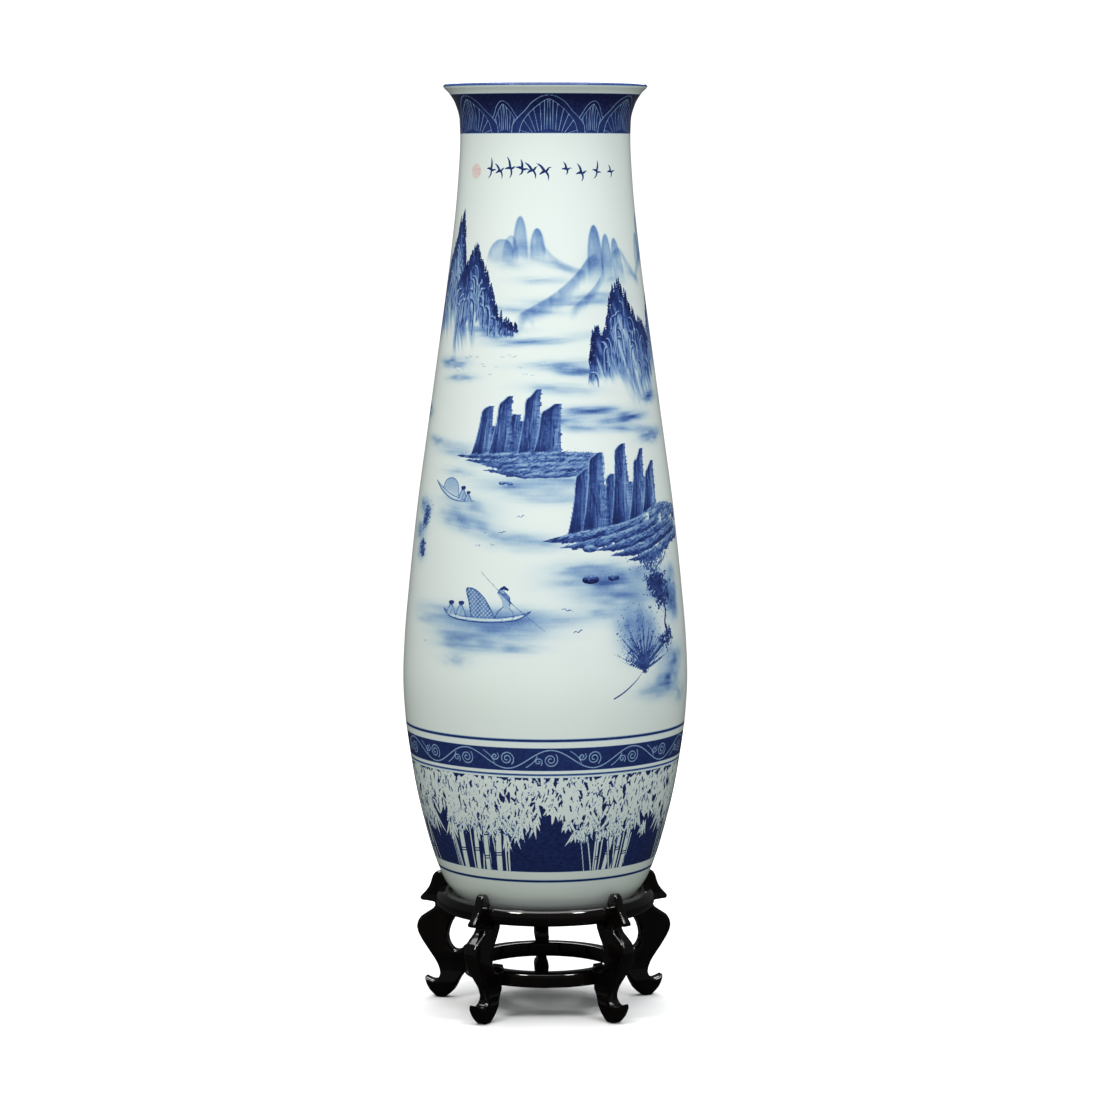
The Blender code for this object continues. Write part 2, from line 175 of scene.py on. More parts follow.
class Painting:
    """Cobalt on the wall: soft washes under crisp brushwork."""

    def __init__(self, angles, heights, radii):
        self.angles = angles
        self.heights = heights
        self.radii = radii
        self.wash = np.zeros((len(heights), len(angles)))
        self.ink = np.zeros_like(self.wash)
        self.tone = np.zeros_like(self.wash)
        self.red = np.zeros_like(self.wash)

    def scale(self, height):
        """Millimetres round the wall for one degree at a height."""
        return np.radians(1.0) * np.interp(height, self.heights, self.radii)

    def patch(self, points, margin_x, margin_y=None):
        """The grid round some points, flat in mm: its index, x, y and the points on it."""
        margin_y = margin_x if margin_y is None else margin_y
        places = np.asarray(points, float)
        middle = (places[:, 0].min() + places[:, 0].max()) / 2
        per_degree = self.scale(places[:, 1].mean())
        flat = np.column_stack(((places[:, 0] - middle) * per_degree, places[:, 1]))
        across = ((self.angles - middle + 180) % 360 - 180) * per_degree
        low, high = flat.min(axis=0), flat.max(axis=0)
        first = np.searchsorted(self.heights, low[1] - margin_y)
        last = np.searchsorted(self.heights, high[1] + margin_y)
        columns = np.flatnonzero((across > low[0] - margin_x) & (across < high[0] + margin_x))
        rows = np.arange(first, last)
        return np.ix_(rows, columns), across[columns][None, :], self.heights[rows][:, None], flat

    def lay(self, place, away, tone):
        """Crisp brushwork where away, a distance in mm, is below zero."""
        cover = np.clip(0.5 - away / CELL, 0, 1)
        hold = np.clip(1.6 - away / CELL, 0, 1)
        ink = self.ink[place]
        blend = np.maximum(cover, hold * (1 - ink))
        self.ink[place] = np.maximum(ink, cover)
        self.tone[place] += (tone - self.tone[place]) * blend

    def lift(self, place, away):
        """Brushwork wiped back to the wash below."""
        self.ink[place] = np.minimum(self.ink[place], np.clip(0.5 + away / CELL, 0, 1))

    def stroke(self, points, width, tone=1.0, start=0.4, end=0.15):
        """One brush stroke, widest a third of the way along."""
        count = len(points)
        share = np.linspace(0, 1, count)
        swell = np.interp(share, (0, 0.35, 1), (start, 1.0, end))
        place, x, y, flat = self.patch(points, width / 2 + 2 * CELL)
        self.lay(place, line_distance(x, y, flat, swell * width / 2), tone)

    def line(self, points, width, tone=1.0):
        self.stroke(points, width, tone, 1.0, 1.0)

    def wipe(self, points, width):
        place, x, y, flat = self.patch(points, width / 2 + 2 * CELL)
        self.lift(place, line_distance(x, y, flat, np.full(len(points), width / 2)))

    def fill(self, outline, shade):
        """A filled outline. shade(x, y, away) gives its tone and how much it covers."""
        place, x, y, flat = self.patch(outline, 3 * CELL)
        away = shape_distance(x, y, flat)
        tone, strength = shade(x, y, away)
        below = self.wash[place]
        self.lay(place, away, below + (tone - below) * strength)

    def cloud(self, middle, size, tone, seed, streak=0.6, lean=0.0):
        """A soft wash, streaked along its length. size is its half length and half height."""
        place, x, y, flat = self.patch([middle], size[0] * 2.2, size[1] * 2.2 + abs(lean) * size[0])
        up = y - flat[0, 1] - lean * x
        fall = np.exp(-1.4 * ((x / size[0]) ** 2 + (up / size[1]) ** 2))
        marks = grain(x, up, size[0] * 0.5, max(2.2, size[1] * 0.16), seed)
        soft = grain(x, up, size[0] * 0.35, size[1] * 0.5, seed + 3)
        self.add_wash(place, tone * fall * (1.15 - streak * marks) * (0.6 + 0.8 * soft))

    def add_wash(self, place, amount):
        """A wash laid over what is there already."""
        self.wash[place] += amount * np.clip(1 - self.wash[place], 0, 1)

    def clear(self, outline):
        """All brushwork inside an outline wiped back to the wash."""
        place, x, y, flat = self.patch(outline, 3 * CELL)
        self.lift(place, shape_distance(x, y, flat))

    def at(self, place, dx, dy):
        """A place moved by millimetres."""
        return (place[0] + dx / self.scale(place[1]), place[1] + dy)

    def around(self, place, points, size=1.0):
        """Places given by offsets from one place."""
        return [self.at(place, x * size, y * size) for x, y in points]

    def dab(self, place, dx, dy, *brush):
        """A short stroke from a place."""
        self.stroke([place, self.at(place, dx, dy)], *brush)

    def channels(self):
        return np.stack((self.wash, self.ink, self.tone, self.red), axis=-1)


# Bands ------------------------------------------------------------------------

def plain_bands(paint):
    """The ground of the painted bands, and the thin lines between them. The neck band's ground
    grows darker towards its top: painted shade under the lip.
    """
    heights = paint.heights[:, None]
    # deep is the neck band's ground, darkened towards its top as painted shade under the
    # overhanging lip
    deep = 1.02 + 0.2 * ease(heights, LOTUS_LOW + 8, LOTUS_HIGH)
    for low, high, tone in ((LOTUS_LOW, LOTUS_HIGH, deep), (SCROLL_LOW, SCROLL_HIGH, 1.04),
                            (BAMBOO_LOW, BAMBOO_HIGH, 1.1)):
        paint.wash[:] = np.where((heights >= low) & (heights <= high), tone, paint.wash)
    for height, half, tone in ((FOOT_LINE, 2.1, 1.08), (BAMBOO_LINE, 1.5, 1.0),
                               (SCROLL_LINE, 2.3, 1.05)):
        line = np.clip((half + 0.7 - abs(heights - height)) / 1.4, 0, 1)
        paint.wash[:] = np.maximum(paint.wash, tone * line)
    paint.wash[:] = np.maximum(paint.wash, 0.9 * ease(heights, RIM_LINE - 0.6, RIM_LINE + 0.6))


OUTER_ARCH = ((1.0, 0.0), (0.97, 0.22), (0.8, 0.43), (0.6, 0.61), (0.43, 0.8), (0.2, 0.95),
              (0.0, 1.0))
INNER_ARCH = ((1.0, 0.0), (0.87, 0.33), (0.62, 0.6), (0.36, 0.8), (0.13, 0.95), (0.0, 1.0))


def lotus_arch(paint, middle, half, top, veins, tone):
    """A pointed arch in thin double line, filled with a fan of veins from its base."""
    base = LOTUS_LOW + 0.5
    tall = top - base

    def flank(side, shape, wide, high):
        places = [(side * wide * half * x, high * tall * y) for x, y in shape]
        return smooth_run(paint.around((middle, base), places))

    sides = [flank(side, OUTER_ARCH, 1.0, 1.0) for side in (-1, 1)]
    paint.clear(np.vstack((sides[0], sides[1][::-1])))
    for side, edge in zip((-1, 1), sides):
        paint.line(edge, 1.2, tone)
        inner = flank(side, INNER_ARCH, 0.8, 0.9)
        paint.line(inner, 1.1, tone)
        for vein in range(veins):
            tip = inner[int((vein + 0.7) / veins * (len(inner) - 1))]
            left = 1 - vein / veins
            root = paint.at((middle, base + 0.12 * tall), side * half * 0.52 * left ** 1.2,
                            -0.12 * tall * left)
            paint.line([root, tip], 1.1, tone)


def lotus_band(paint):
    """Great arches round the neck, with a small leaf behind each gap."""
    for shift, half, top, veins, tone in ((-150, 31.0, LOTUS_LOW + 54, 5, PALE),
                                          (-180, 63.0, LOTUS_HIGH - 2.5, 7, 0.4)):
        for turn in range(ARCHES):
            lotus_arch(paint, turn * 360 / ARCHES + shift, half, top, veins, tone)
    wipe_rows(paint, LOTUS_LOW - 4, LOTUS_LOW)
    wipe_rows(paint, LOTUS_HIGH, LOTUS_HIGH + 6)


def wipe_rows(paint, low, high):
    """Clears brushwork that ran over a band's edge."""
    paint.ink[(paint.heights > low) & (paint.heights < high)] = 0


def spiral(paint, middle, radius, turns, up):
    """A scroll winding in from the side where the vine passes it."""
    run = []
    for share in np.linspace(0, 1, int(turns * 14) + 1):
        angle = -math.radians(50) + 2 * math.pi * turns * share
        size = radius * (1 - 0.82 * share ** 0.9)
        run.append((size * math.cos(angle), up * size * math.sin(angle)))
    paint.line(paint.around(middle, run), 1.9, PALE)


def scroll_band(paint):
    """A pale vine on the dark band that wraps a large and a small spiral by turns."""
    centre = (SCROLL_LOW + SCROLL_HIGH) / 2
    half = (SCROLL_HIGH - SCROLL_LOW) / 2 - 3.2
    pitch = 360.0 / SCROLLS * paint.scale(centre)
    for turn in range(SCROLLS):
        up = 1 if turn % 2 else -1
        middle = (turn * 360.0 / SCROLLS - 180.0, centre)
        vine = [(x * pitch, -up * half * math.cos(math.pi * x)) for x in np.linspace(-0.5, 0.5, 13)]
        paint.line(paint.around(middle, vine), 2.0, PALE)
        spiral(paint, paint.at(middle, 0, up * 1.0), 13.0, 1.95, up)
        spiral(paint, paint.at(middle, -20.8, up * 4.0), 7.4, 1.35, -up)
        curl = [(x * pitch, up * y) for x, y in ((-0.3, -6), (-0.36, 2), (-0.46, 9), (-0.56, 14))]
        paint.line(smooth_run(paint.around(middle, curl)), 1.7, PALE)


def bamboo_leaf(paint, root, length, width, direction, tone, gap=0.7):
    """A long pointed leaf, edged by a thin dark gap."""
    bend = 0.1 * length * (1 if math.cos(direction) > 0 else -1)
    cos, sin = math.cos(direction), math.sin(direction)
    blade = [paint.at(root, length * share * cos + bend * bow * sin,
                    length * share * sin - bend * bow * cos)
             for share, bow in ((0, 0), (0.35, 0.5), (0.7, 0.4), (1.0, 0.0))]
    place, x, y, flat = paint.patch(blade, width + 2 * CELL)
    away = line_distance(x, y, flat, np.array([0.3, 1.0, 0.75, 0.08]) * width / 2)
    paint.lift(place, away - gap)
    paint.lay(place, away, tone)


def bamboo_stem(paint, foot, lean, width, top, rng):
    """A pale stem with dark double nodes, from the bottom of the frieze."""
    line = [(foot + lean * share, BAMBOO_LOW - 1 + (top - BAMBOO_LOW) * share)
            for share in np.linspace(0, 1, 5)]
    place, x, y, flat = paint.patch(line, width + 2 * CELL)
    away = line_distance(x, y, flat, np.full(5, width / 2))
    paint.lift(place, away - 1.6)
    paint.lay(place, away, 0.04)
    height = BAMBOO_LOW + rng.uniform(14, 34)
    while width > 5 and height < top - 6:
        share = (height - BAMBOO_LOW) / (top - BAMBOO_LOW)
        middle = (foot + lean * share, height)
        for rise in (0.0, 4.2):
            notch = ((-width * 0.6, rise), (width * 0.6, rise + 0.8))
            paint.wipe(paint.around(middle, notch), 1.9)
        height += rng.uniform(34, 50)


def leaf_spray(paint, root, rng, length):
    """Three to five leaves fanning down from one point."""
    count = rng.integers(3, 6)
    for index in range(count):
        fan = -90 + (index - (count - 1) / 2) * rng.uniform(10, 19)
        bamboo_leaf(paint, root, length * rng.uniform(0.75, 1.2), rng.uniform(4.0, 5.6),
                    math.radians(fan), rng.uniform(0.0, 0.06))


GROVES = (-84.0, -34.0, 31.0, 82.0, 122.0, 166.0, -128.0, -166.0)


def bamboo_frieze(paint):
    """A bamboo grove in reserve: stems in groups, hanging tips, and a dense crown."""
    rng = np.random.default_rng(11)
    for grove in GROVES:
        for index in range(4):
            foot = grove + (index - 1.5) * rng.uniform(4.4, 7.4)
            for _ in range(3):
                bamboo_stem(paint, foot + rng.uniform(-7, 7), rng.uniform(-6, 6),
                            rng.uniform(1.6, 2.8), rng.uniform(350, 390), rng)
            bamboo_stem(paint, foot, rng.uniform(-1.0, 3.4), rng.choice((10.0, 8.0, 6.0)),
                        rng.uniform(372, 400), rng)
        for _ in range(15):
            root = (grove + rng.uniform(-20, 20), rng.uniform(346, 380))
            leaf_spray(paint, root, rng, rng.uniform(26, 42))
    for _ in range(120):
        leaf_spray(paint, (rng.uniform(-180, 180), rng.uniform(364, 390)), rng,
                   rng.uniform(28, 46))
    for low, high, count in ((376, 398, 330), (390, 416, 440), (406, 430, 520), (426, 446, 560)):
        for _ in range(count):
            root = (rng.uniform(-180, 180), rng.uniform(low, high))
            heading = math.radians(-90 + rng.normal(0, 27))
            bamboo_leaf(paint, root, rng.uniform(22, 36), rng.uniform(5.0, 7.4), heading,
                        rng.uniform(0.0, 0.05), rng.choice((-3.0, 0.5), p=(0.62, 0.38)))
    for _ in range(560):
        root = (rng.uniform(-180, 180), rng.uniform(366, 432))
        twig = [root, paint.at(root, rng.uniform(-4, 4), -rng.uniform(4, 10))]
        paint.wipe(twig, rng.uniform(1.0, 2.4))
    for _ in range(110):
        root = (rng.uniform(-180, 180), BAMBOO_HIGH)
        gap = [root, paint.at(root, rng.uniform(-7, 7), -rng.uniform(2, 6))]
        paint.wipe(gap, rng.uniform(2.5, 5.5))
    wipe_rows(paint, BAMBOO_HIGH, SCROLL_LOW)
    wipe_rows(paint, FOOT_LINE + 3, BAMBOO_LOW)


# Landscape --------------------------------------------------------------------

def crest_height(flat, x):
    """The height of a ridge, given as flat points, at each x."""
    order = np.argsort(flat[:, 0], kind="stable")
    return np.interp(x, flat[order, 0], flat[order, 1])


def far_peak(paint, tip, half, tall, tone, seed, lean=0.0):
    """A soft rounded peak in wash, darkest at its tip and edges, gone at its foot."""
    place, x, y, flat = paint.patch([tip], half + 12 + abs(lean) * tall, tall + 12)
    depth = flat[0, 1] - y
    share = np.clip(depth / tall, 0, 1.2)
    bulge = np.clip(share / 0.8, 0, 1)
    width = half * np.sqrt(1 - (1 - bulge) ** 2.4)
    across = x - lean * depth
    edge = width - abs(across)
    creases = grain(across, y, half * 0.5, tall * 0.6, seed)
    foot = 1 - ease(share, 0.4 + 0.3 * creases, 0.98)
    body = ease(edge, -2.2, 2.6) * ease(depth, -2.5, 2) * foot
    rim = 1 - ease(edge, 0.0, half * 0.6)
    body = body * (0.86 + 0.2 * rim + 0.34 * (1 - ease(share, 0.05, 0.45)) - 0.36 * creases)
    paint.add_wash(place, tone * body)


def far_slope(paint, ridge, drop, tone, seed, ends=22.0):
    """A misty slope in wash under a ridge line: it fades at its foot and at its ends."""
    place, x, y, flat = paint.patch(smooth_run(ridge, 5), 6, drop + 6)
    depth = crest_height(flat, x) - y
    side = np.minimum(x - flat[0, 0], flat[-1, 0] - x)
    creases = grain(x + 0.25 * y, y, 6.5, 34, seed)
    body = ease(depth, -2.2, 3.5) * ease(side, 0, ends)
    body = body * (1 - ease(depth, drop * 0.2, drop * (0.7 + 0.4 * creases)))
    paint.add_wash(place, tone * body * (1.1 - 0.4 * creases))


def conifer(paint, foot, height, rng, tone):
    """A tiny conifer: a stem and shortening boughs."""
    tip = paint.at(foot, rng.uniform(-0.8, 0.8), height)
    paint.stroke([foot, tip], 2.0, tone, 1.0, 0.5)
    for level in range(5):
        rise = height * (0.12 + 0.17 * level)
        reach = height * (0.27 - 0.045 * level) * rng.uniform(0.7, 1.2)
        for side in (-1, 1):
            bough = paint.around(foot, ((0, rise + 1.0), (side * reach, rise - 1.4)))
            paint.stroke(bough, 1.7, tone, 1.0, 0.5)


def rock_rib(paint, start, reach, fall, side, tone):
    """A pale rounded edge of rock with its shadow under it."""
    run = smooth_run(paint.around(start, ((0, 0), (side * reach * 0.55, -fall * 0.04),
                                          (side * reach * 0.95, -fall * 0.3),
                                          (side * reach, -fall))), 4)
    shade = np.column_stack((run[:, 0] - side * 1.7 / paint.scale(start[1]), run[:, 1] - 1.6))
    paint.stroke(shade, 3.4, tone, 0.5, 0.2)
    paint.stroke(run, 1.7, 0.16, 0.6, 0.5)


def pine_mountain(paint, crest, foot, seed, tone=1.0, tall=(8, 14), ends=(6.0, 20.0)):
    """A steep dark mountain: ribs and streaks, conifers on its crest, mist at its foot."""
    rng = np.random.default_rng(seed)
    ridge = smooth_run(crest, 4)
    low_line = np.asarray(foot, float)
    outline = np.vstack((ridge, low_line[::-1]))
    flat = paint.patch(outline, 1)[3]
    flat_ridge, flat_foot = flat[:len(ridge)], flat[len(ridge):]

    def shade(x, y, away):
        top = crest_height(flat_ridge, x)
        low = crest_height(flat_foot, x)
        side = ease(x - flat[:, 0].min(), -3, ends[0]) * ease(flat[:, 0].max() - x, 0, ends[1])
        streaks = grain(x + 0.3 * y, y, 4.5, 36, seed)
        fine = grain(x + 0.15 * y, y, 2.2, 14, seed + 1)
        share = (y - low) / np.maximum(top - low, 12)
        fade = ease(share, 0.02 + 0.2 * streaks, 0.34 + 0.3 * streaks) * side
        body = 1.04 - 0.4 * ease(top - y, 10, 80) - 0.26 * ease(streaks, 0.5, 0.85) - 0.18 * fine
        return tone * np.clip(body, 0.2, 1.12), np.clip(fade, 0, 1)

    paint.fill(outline, shade)
    left, right = ridge[:, 0].min(), ridge[:, 0].max()

    def inside(share):
        """A place on the face, and the height of the face there."""
        angle = rng.uniform(left, right - (right - left) * 0.06)
        top = crest_height(ridge, angle)
        low = crest_height(low_line, angle)
        return (angle, low + (top - low) * share), top - low

    for _ in range(190):
        place, local = inside(1 - 0.6 * rng.uniform(0.02, 1.0) ** 1.1)
        length = min(rng.uniform(6, 17), 0.3 * local)
        slant = rng.uniform(-0.3, 0.2) * length
        streak = paint.around(place, ((0, 0), (slant * 0.3, -length * 0.5), (slant, -length)))
        paint.stroke(streak, rng.uniform(1.1, 2.2), tone * rng.uniform(0.9, 1.12))
    for _ in range(26):
        place, local = inside(rng.uniform(0.55, 0.93))
        if local > 45:
            rock_rib(paint, place, rng.uniform(6, 13), min(rng.uniform(22, 60), 0.42 * local),
                     rng.choice((-1, 1), p=(0.35, 0.65)), tone * rng.uniform(0.9, 1.1))
    for _ in range(150):
        place, local = inside(rng.uniform(0.3, 0.9))
        length = min(rng.uniform(5, 12), 0.2 * local)
        paint.dab(place, rng.uniform(-0.3, 0.3) * length, -length, 1.1, rng.uniform(0.2, 0.4))
    spacing = 6.5
    for start, end in zip(ridge, ridge[1:]):
        reach = math.hypot((end[0] - start[0]) * paint.scale(start[1]), end[1] - start[1])
        for share in np.arange(0, 1, min(1.0, spacing / max(reach, 1.0))):
            place = start + (end - start) * share
            root = paint.at(tuple(place), rng.uniform(-3, 3), -rng.uniform(0, 5))
            conifer(paint, root, rng.uniform(*tall), rng, tone * rng.uniform(0.95, 1.12))


def slab(paint, top_left, tip, foot_left, foot_right, seed):
    """A tall rock slab with a hooked tip and hollow flanks, drawn with a dry brush."""
    def between(first, second, share, bow):
        middle = (first[0] + (second[0] - first[0]) * share,
                  first[1] + (second[1] - first[1]) * share)
        return paint.at(middle, bow, 0)

    wide = (tip[0] - top_left[0]) * paint.scale(tip[1])
    shoulder = paint.at(top_left, 0.02 * wide, -9)
    left = [foot_left, between(foot_left, shoulder, 0.3, 1.8),
            between(foot_left, shoulder, 0.7, 1.8), shoulder, paint.at(top_left, 0.1 * wide, -2.0),
            paint.at(top_left, 0.34 * wide, 3.0), paint.at(tip, -0.34 * wide, -0.4)]
    right = [tip, between(tip, foot_right, 0.1, -2.4), between(tip, foot_right, 0.35, -2.4),
             between(tip, foot_right, 0.75, -1.2), foot_right]
    left_run, right_run = smooth_run(left, 3), smooth_run(right, 3)
    outline = np.vstack((left_run, right_run))
    tall = tip[1] - foot_right[1]
    flat = paint.patch(outline, 1)[3]
    flat_left, flat_right = flat[:len(left_run)], flat[len(left_run):][::-1]

    def shade(x, y, away):
        left_edge = np.interp(y, flat_left[:, 1], flat_left[:, 0])
        right_edge = np.interp(y, flat_right[:, 1], flat_right[:, 0])
        share = (x - left_edge) / np.maximum(right_edge - left_edge, 4)
        upright = grain(x - 0.1 * y, y, 1.9, 50, seed)
        dry = grain(x, y, 14, 1.7, seed + 2)
        body = 1.14 - 0.2 * ease(share, 0.2, 0.8) - 0.3 * upright ** 1.4
        body = body - 0.3 * dry ** 2 * ease(share, 0.35, 1.0)
        band = ease(y - foot_right[1], 0.05 * tall, 0.3 * tall) * ease(tip[1] - y, 0, 0.5 * tall)
        return np.clip(body - 0.14 * band, 0.4, 1.15), 1

    paint.fill(outline, shade)
    rng = np.random.default_rng(seed)
    rim = [paint.at(tuple(place), -1.3, 0.6) for place in left_run]
    paint.stroke(rim, 1.4, 0.3, 0.2, 0.7)
    height = foot_right[1] + 4
    while height < tip[1] - 5:
        share = (tip[1] - height) / tall
        edge = between(tip, foot_right, share, -2.3 * math.sin(math.pi * min(1, share + 0.2)))
        start = paint.at((edge[0], height), -rng.uniform(1, 4), 0)
        mark = [start, paint.at((edge[0], height), rng.uniform(1.0, 3.4), rng.uniform(-0.4, 0.6))]
        paint.stroke(mark, rng.uniform(1.1, 1.6), rng.uniform(0.6, 1.0), 1.0, 0.3)
        height += rng.uniform(1.3, 3.2)
    for _ in range(int(tall / 5)):
        share = rng.uniform(0.12, 0.95)
        across = rng.uniform(0.1, 0.9)
        low = foot_right[1] + tall * 0.9 * (1 - share)
        angle = np.interp(low, flat_left[:, 1], left_run[:, 0]) * (1 - across) \
            + np.interp(low, flat_right[:, 1], right_run[::-1, 0]) * across
        paint.dab((angle, low), rng.uniform(-0.6, 1.6), rng.uniform(8, 22), rng.uniform(1.1, 1.7),
                  rng.choice((0.5, 1.15), p=(0.35, 0.65)))


def bank(paint, spine, thick, seed, tone=1.0):
    """A tongue of land, from its tip along its spine, combed with short grass strokes."""
    rng = np.random.default_rng(seed)
    line = smooth_run(spine, 6)
    share = np.linspace(0, 1, len(line))
    half = thick * (0.1 + 0.9 * ease(share, 0.0, 0.4))
    ragged = 0.75 + 0.5 * lattice(np.arange(len(line)) * 1.0, 0.0, seed)
    upper = np.column_stack((line[:, 0], line[:, 1] + half * 0.75))
    lower = np.column_stack((line[:, 0], line[:, 1] - half * ragged))
    outline = np.vstack((upper, lower[::-1]))
    flat = paint.patch(outline, 1)[3]
    flat_lower = flat[len(line):]

    def shade(x, y, away):
        rise = (y - crest_height(flat_lower, x)) / thick
        comb = grain(x - 1.5 * y, y + 0.3 * x, 2.2, 10, seed)
        body = 1.1 - 0.5 * ease(rise, 0.25, 1.2) - 0.28 * comb
        fade = ease(flat[:, 0].max() - x, 0, 26) * (0.55 + 0.45 * ease(-away, 0.5, 3))
        return tone * np.clip(body, 0.25, 1.1), fade

    paint.fill(outline, shade)
    left, right = line[0, 0], line[-1, 0]
    count = int((right - left) * paint.scale(line[0, 1]) * thick / 9.0)
    for _ in range(count):
        angle = left + (right - left) * rng.uniform(0.02, 0.95)
        here = np.interp(angle, line[:, 0], line[:, 1])
        local = np.interp(angle, line[:, 0], half)
        level = rng.uniform(-0.95, 0.75)
        place = (angle, here + local * level)
        heading = math.radians(rng.uniform(2, 30))
        length = rng.uniform(7, 17)
        tones = (0.92, 1.12) if rng.uniform() < 0.6 - 0.34 * level else (0.36, 0.6)
        paint.dab(place, length * math.cos(heading), length * math.sin(heading),
                  rng.uniform(1.1, 1.6), tone * rng.uniform(*tones), 0.5, 0.2)
    for _ in range(count // 5):
        angle = left + (right - left) * rng.uniform(0.03, 0.9)
        place = (angle, np.interp(angle, line[:, 0], lower[:, 1]) - rng.uniform(-1.5, 2.5))
        paint.dab(place, rng.uniform(6, 15), rng.uniform(-0.6, 1.6), rng.uniform(1.2, 2.4),
                  tone * rng.uniform(0.8, 1.1), 0.3, 0.2)


def boulder(paint, place, radius, seed, tone=1.0):
    """A round stone, lit from above, with a broken edge below."""
    outline = [paint.at(place, radius * 1.35 * math.cos(turn),
                      radius * 0.72 * math.sin(turn) * (1.25 if math.sin(turn) > 0 else 0.7))
               for turn in np.arange(14) * math.pi / 7]

    def shade(x, y, away):
        lit = ease(y - place[1], -radius * 0.2, radius * 0.8)
        body = 0.98 - 0.5 * lit - 0.25 * grain(x, y, 4, 2.4, seed)
        return tone * body, 1

    paint.fill(outline, shade)
    paint.stroke(outline[6:14], 1.6, tone, 0.6, 0.6)
    paint.stroke(paint.around(place, ((-0.5, 0.2), (0.1, -0.3)), radius), 1.2, 0.2)


def stones(paint, middle, seed, count, size):
    """A few small stones in the water."""
    rng = np.random.default_rng(seed)
    paint.cloud(paint.at(middle, 4, -5), (count * size * 1.1, size * 0.9), 0.5, seed)
    for index in range(count):
        place = paint.at(middle, (index - count / 2) * size * 1.4 + rng.uniform(-2, 2),
                       rng.uniform(-3, 2))
        boulder(paint, place, size * rng.uniform(0.5, 0.95), seed + index)


def bird(paint, middle, size, tone, tilt):
    """A bird far off: two bent wings."""
    for side in (-1, 1):
        wing = [(0, 0), (side * 0.45, 0.34 + side * tilt), (side, 0.1 + side * tilt * 2)]
        paint.stroke(paint.around(middle, wing, size), max(1.3, size * 0.2), tone, 0.8, 0.4)


def goose(paint, middle, size, phase):
    """A flying goose seen from the side: body, long neck, and two wings."""
    body = [(-0.34, -0.05), (-0.1, 0.02), (0.14, 0.0), (0.28, 0.04)]
    neck = [(0.2, 0.04), (0.36, 0.12), (0.5, 0.1)]
    lift = 0.66 + 0.14 * math.sin(phase)
    near = [(0.05, 0.02), (-0.06, lift * 0.6), (-0.26, lift)]
    far = [(0.1, 0.0), (0.16, -lift * 0.45), (0.04, -lift * 0.85)]
    tilt = 0.5 * math.sin(2.3 * phase)
    cos, sin = math.cos(tilt), math.sin(tilt)
    for shape, width, start, end in ((body, 0.17, 0.3, 0.6), (neck, 0.09, 1.0, 0.6),
                                     (near, 0.16, 1.0, 0.2), (far, 0.13, 1.0, 0.2)):
        turned = [(x * cos - y * sin, x * sin + y * cos) for x, y in shape]
        run = smooth_run(paint.around(middle, turned, size), 3)
        paint.stroke(run, size * width, 1.05, start, end)


def geese_row(paint):
    """A row of geese under the neck band, and a small pale-red sun before them."""
    rng = np.random.default_rng(5)
    for angle in (-41, -33, -25.5, -18, -11, -3, 11, 21, 33, 45, 118, 132, 146, 160, 174):
        middle = (angle + rng.uniform(-0.6, 0.6), GEESE_HEIGHT + rng.uniform(-4, 4))
        goose(paint, middle, rng.uniform(20, 27), rng.uniform(0, 6))
    sun, radius = (-54, GEESE_HEIGHT - 1), 12.5
    place, x, y, flat = paint.patch([sun], 20)
    disc = np.clip(0.5 - (np.hypot(x, y - flat[0, 1]) - radius) / CELL, 0, 1)
    brushed = 0.42 - 0.24 * grain(x, y, 9, 2.4, 3)
    paint.red[place] = np.maximum(paint.red[place], disc * brushed)


def seated(paint, middle, size):
    """A tiny seated figure in a robe and a hat."""
    robe = [(-0.42, 0), (-0.3, 0.45), (-0.05, 0.72), (0.2, 0.5), (0.42, 0.0)]
    outline = smooth_run(paint.around(middle, robe, size), 4)
    paint.fill(outline, lambda *_: (0.36, 1))
    paint.line(outline, 1.2, 0.9)
    paint.stroke(paint.around(middle, [(-0.05, 0.1), (0.1, 0.45)], size), 1.2, 0.9)
    head = paint.around(middle, [(-0.12, 0.84), (0.1, 0.86)], size)
    paint.stroke(head, size * 0.34, 0.98, 0.8, 0.8)


def boatman(paint, middle, size, pole):
    """A tiny figure leaning on a pole: legs apart, a bent back and a hat."""
    for foot in ((-0.3, 0.0), (0.34, 0.02)):
        leg = [(0.06, 0.42), (foot[0] * 0.8 + 0.05, 0.2), foot]
        paint.stroke(paint.around(middle, leg, size), 1.6, 0.95, 1.0, 0.8)
    back = paint.around(middle, [(0.1, 0.4), (0.06, 0.62), (-0.12, 0.82)], size)
    paint.stroke(back, size * 0.3, 0.34, 0.9, 0.7)
    outline = paint.around(middle, [(0.22, 0.42), (0.2, 0.68), (-0.02, 0.9)], size)
    paint.stroke(outline, 1.4, 0.95, 0.9, 0.7)
    paint.stroke(pole, 1.6, 0.98, 0.8, 0.7)
    for hand in ((-0.3, 0.84), (0.36, 0.4)):
        paint.stroke(paint.around(middle, [(0.04, 0.76), hand], size), 1.6, 0.9, 1.0, 0.7)
    hat = paint.around(middle, [(-0.13, 0.93), (0.0, 0.99), (0.13, 0.92)], size)
    paint.stroke(hat, size * 0.12, 1.0, 0.6, 0.6)


def woven_canopy(paint, arch, pitch):
    """An arched mat canopy, netted with thin lines."""
    def shade(x, y, away):
        weave = np.minimum(abs(((x + y) / pitch) % 1 - 0.5), abs(((x - y) / pitch) % 1 - 0.5))
        return 0.3 + 0.55 * (1 - ease(weave, 0.05, 0.2)), 1

    paint.fill(arch, shade)
    paint.line(arch, 1.5, 0.95)


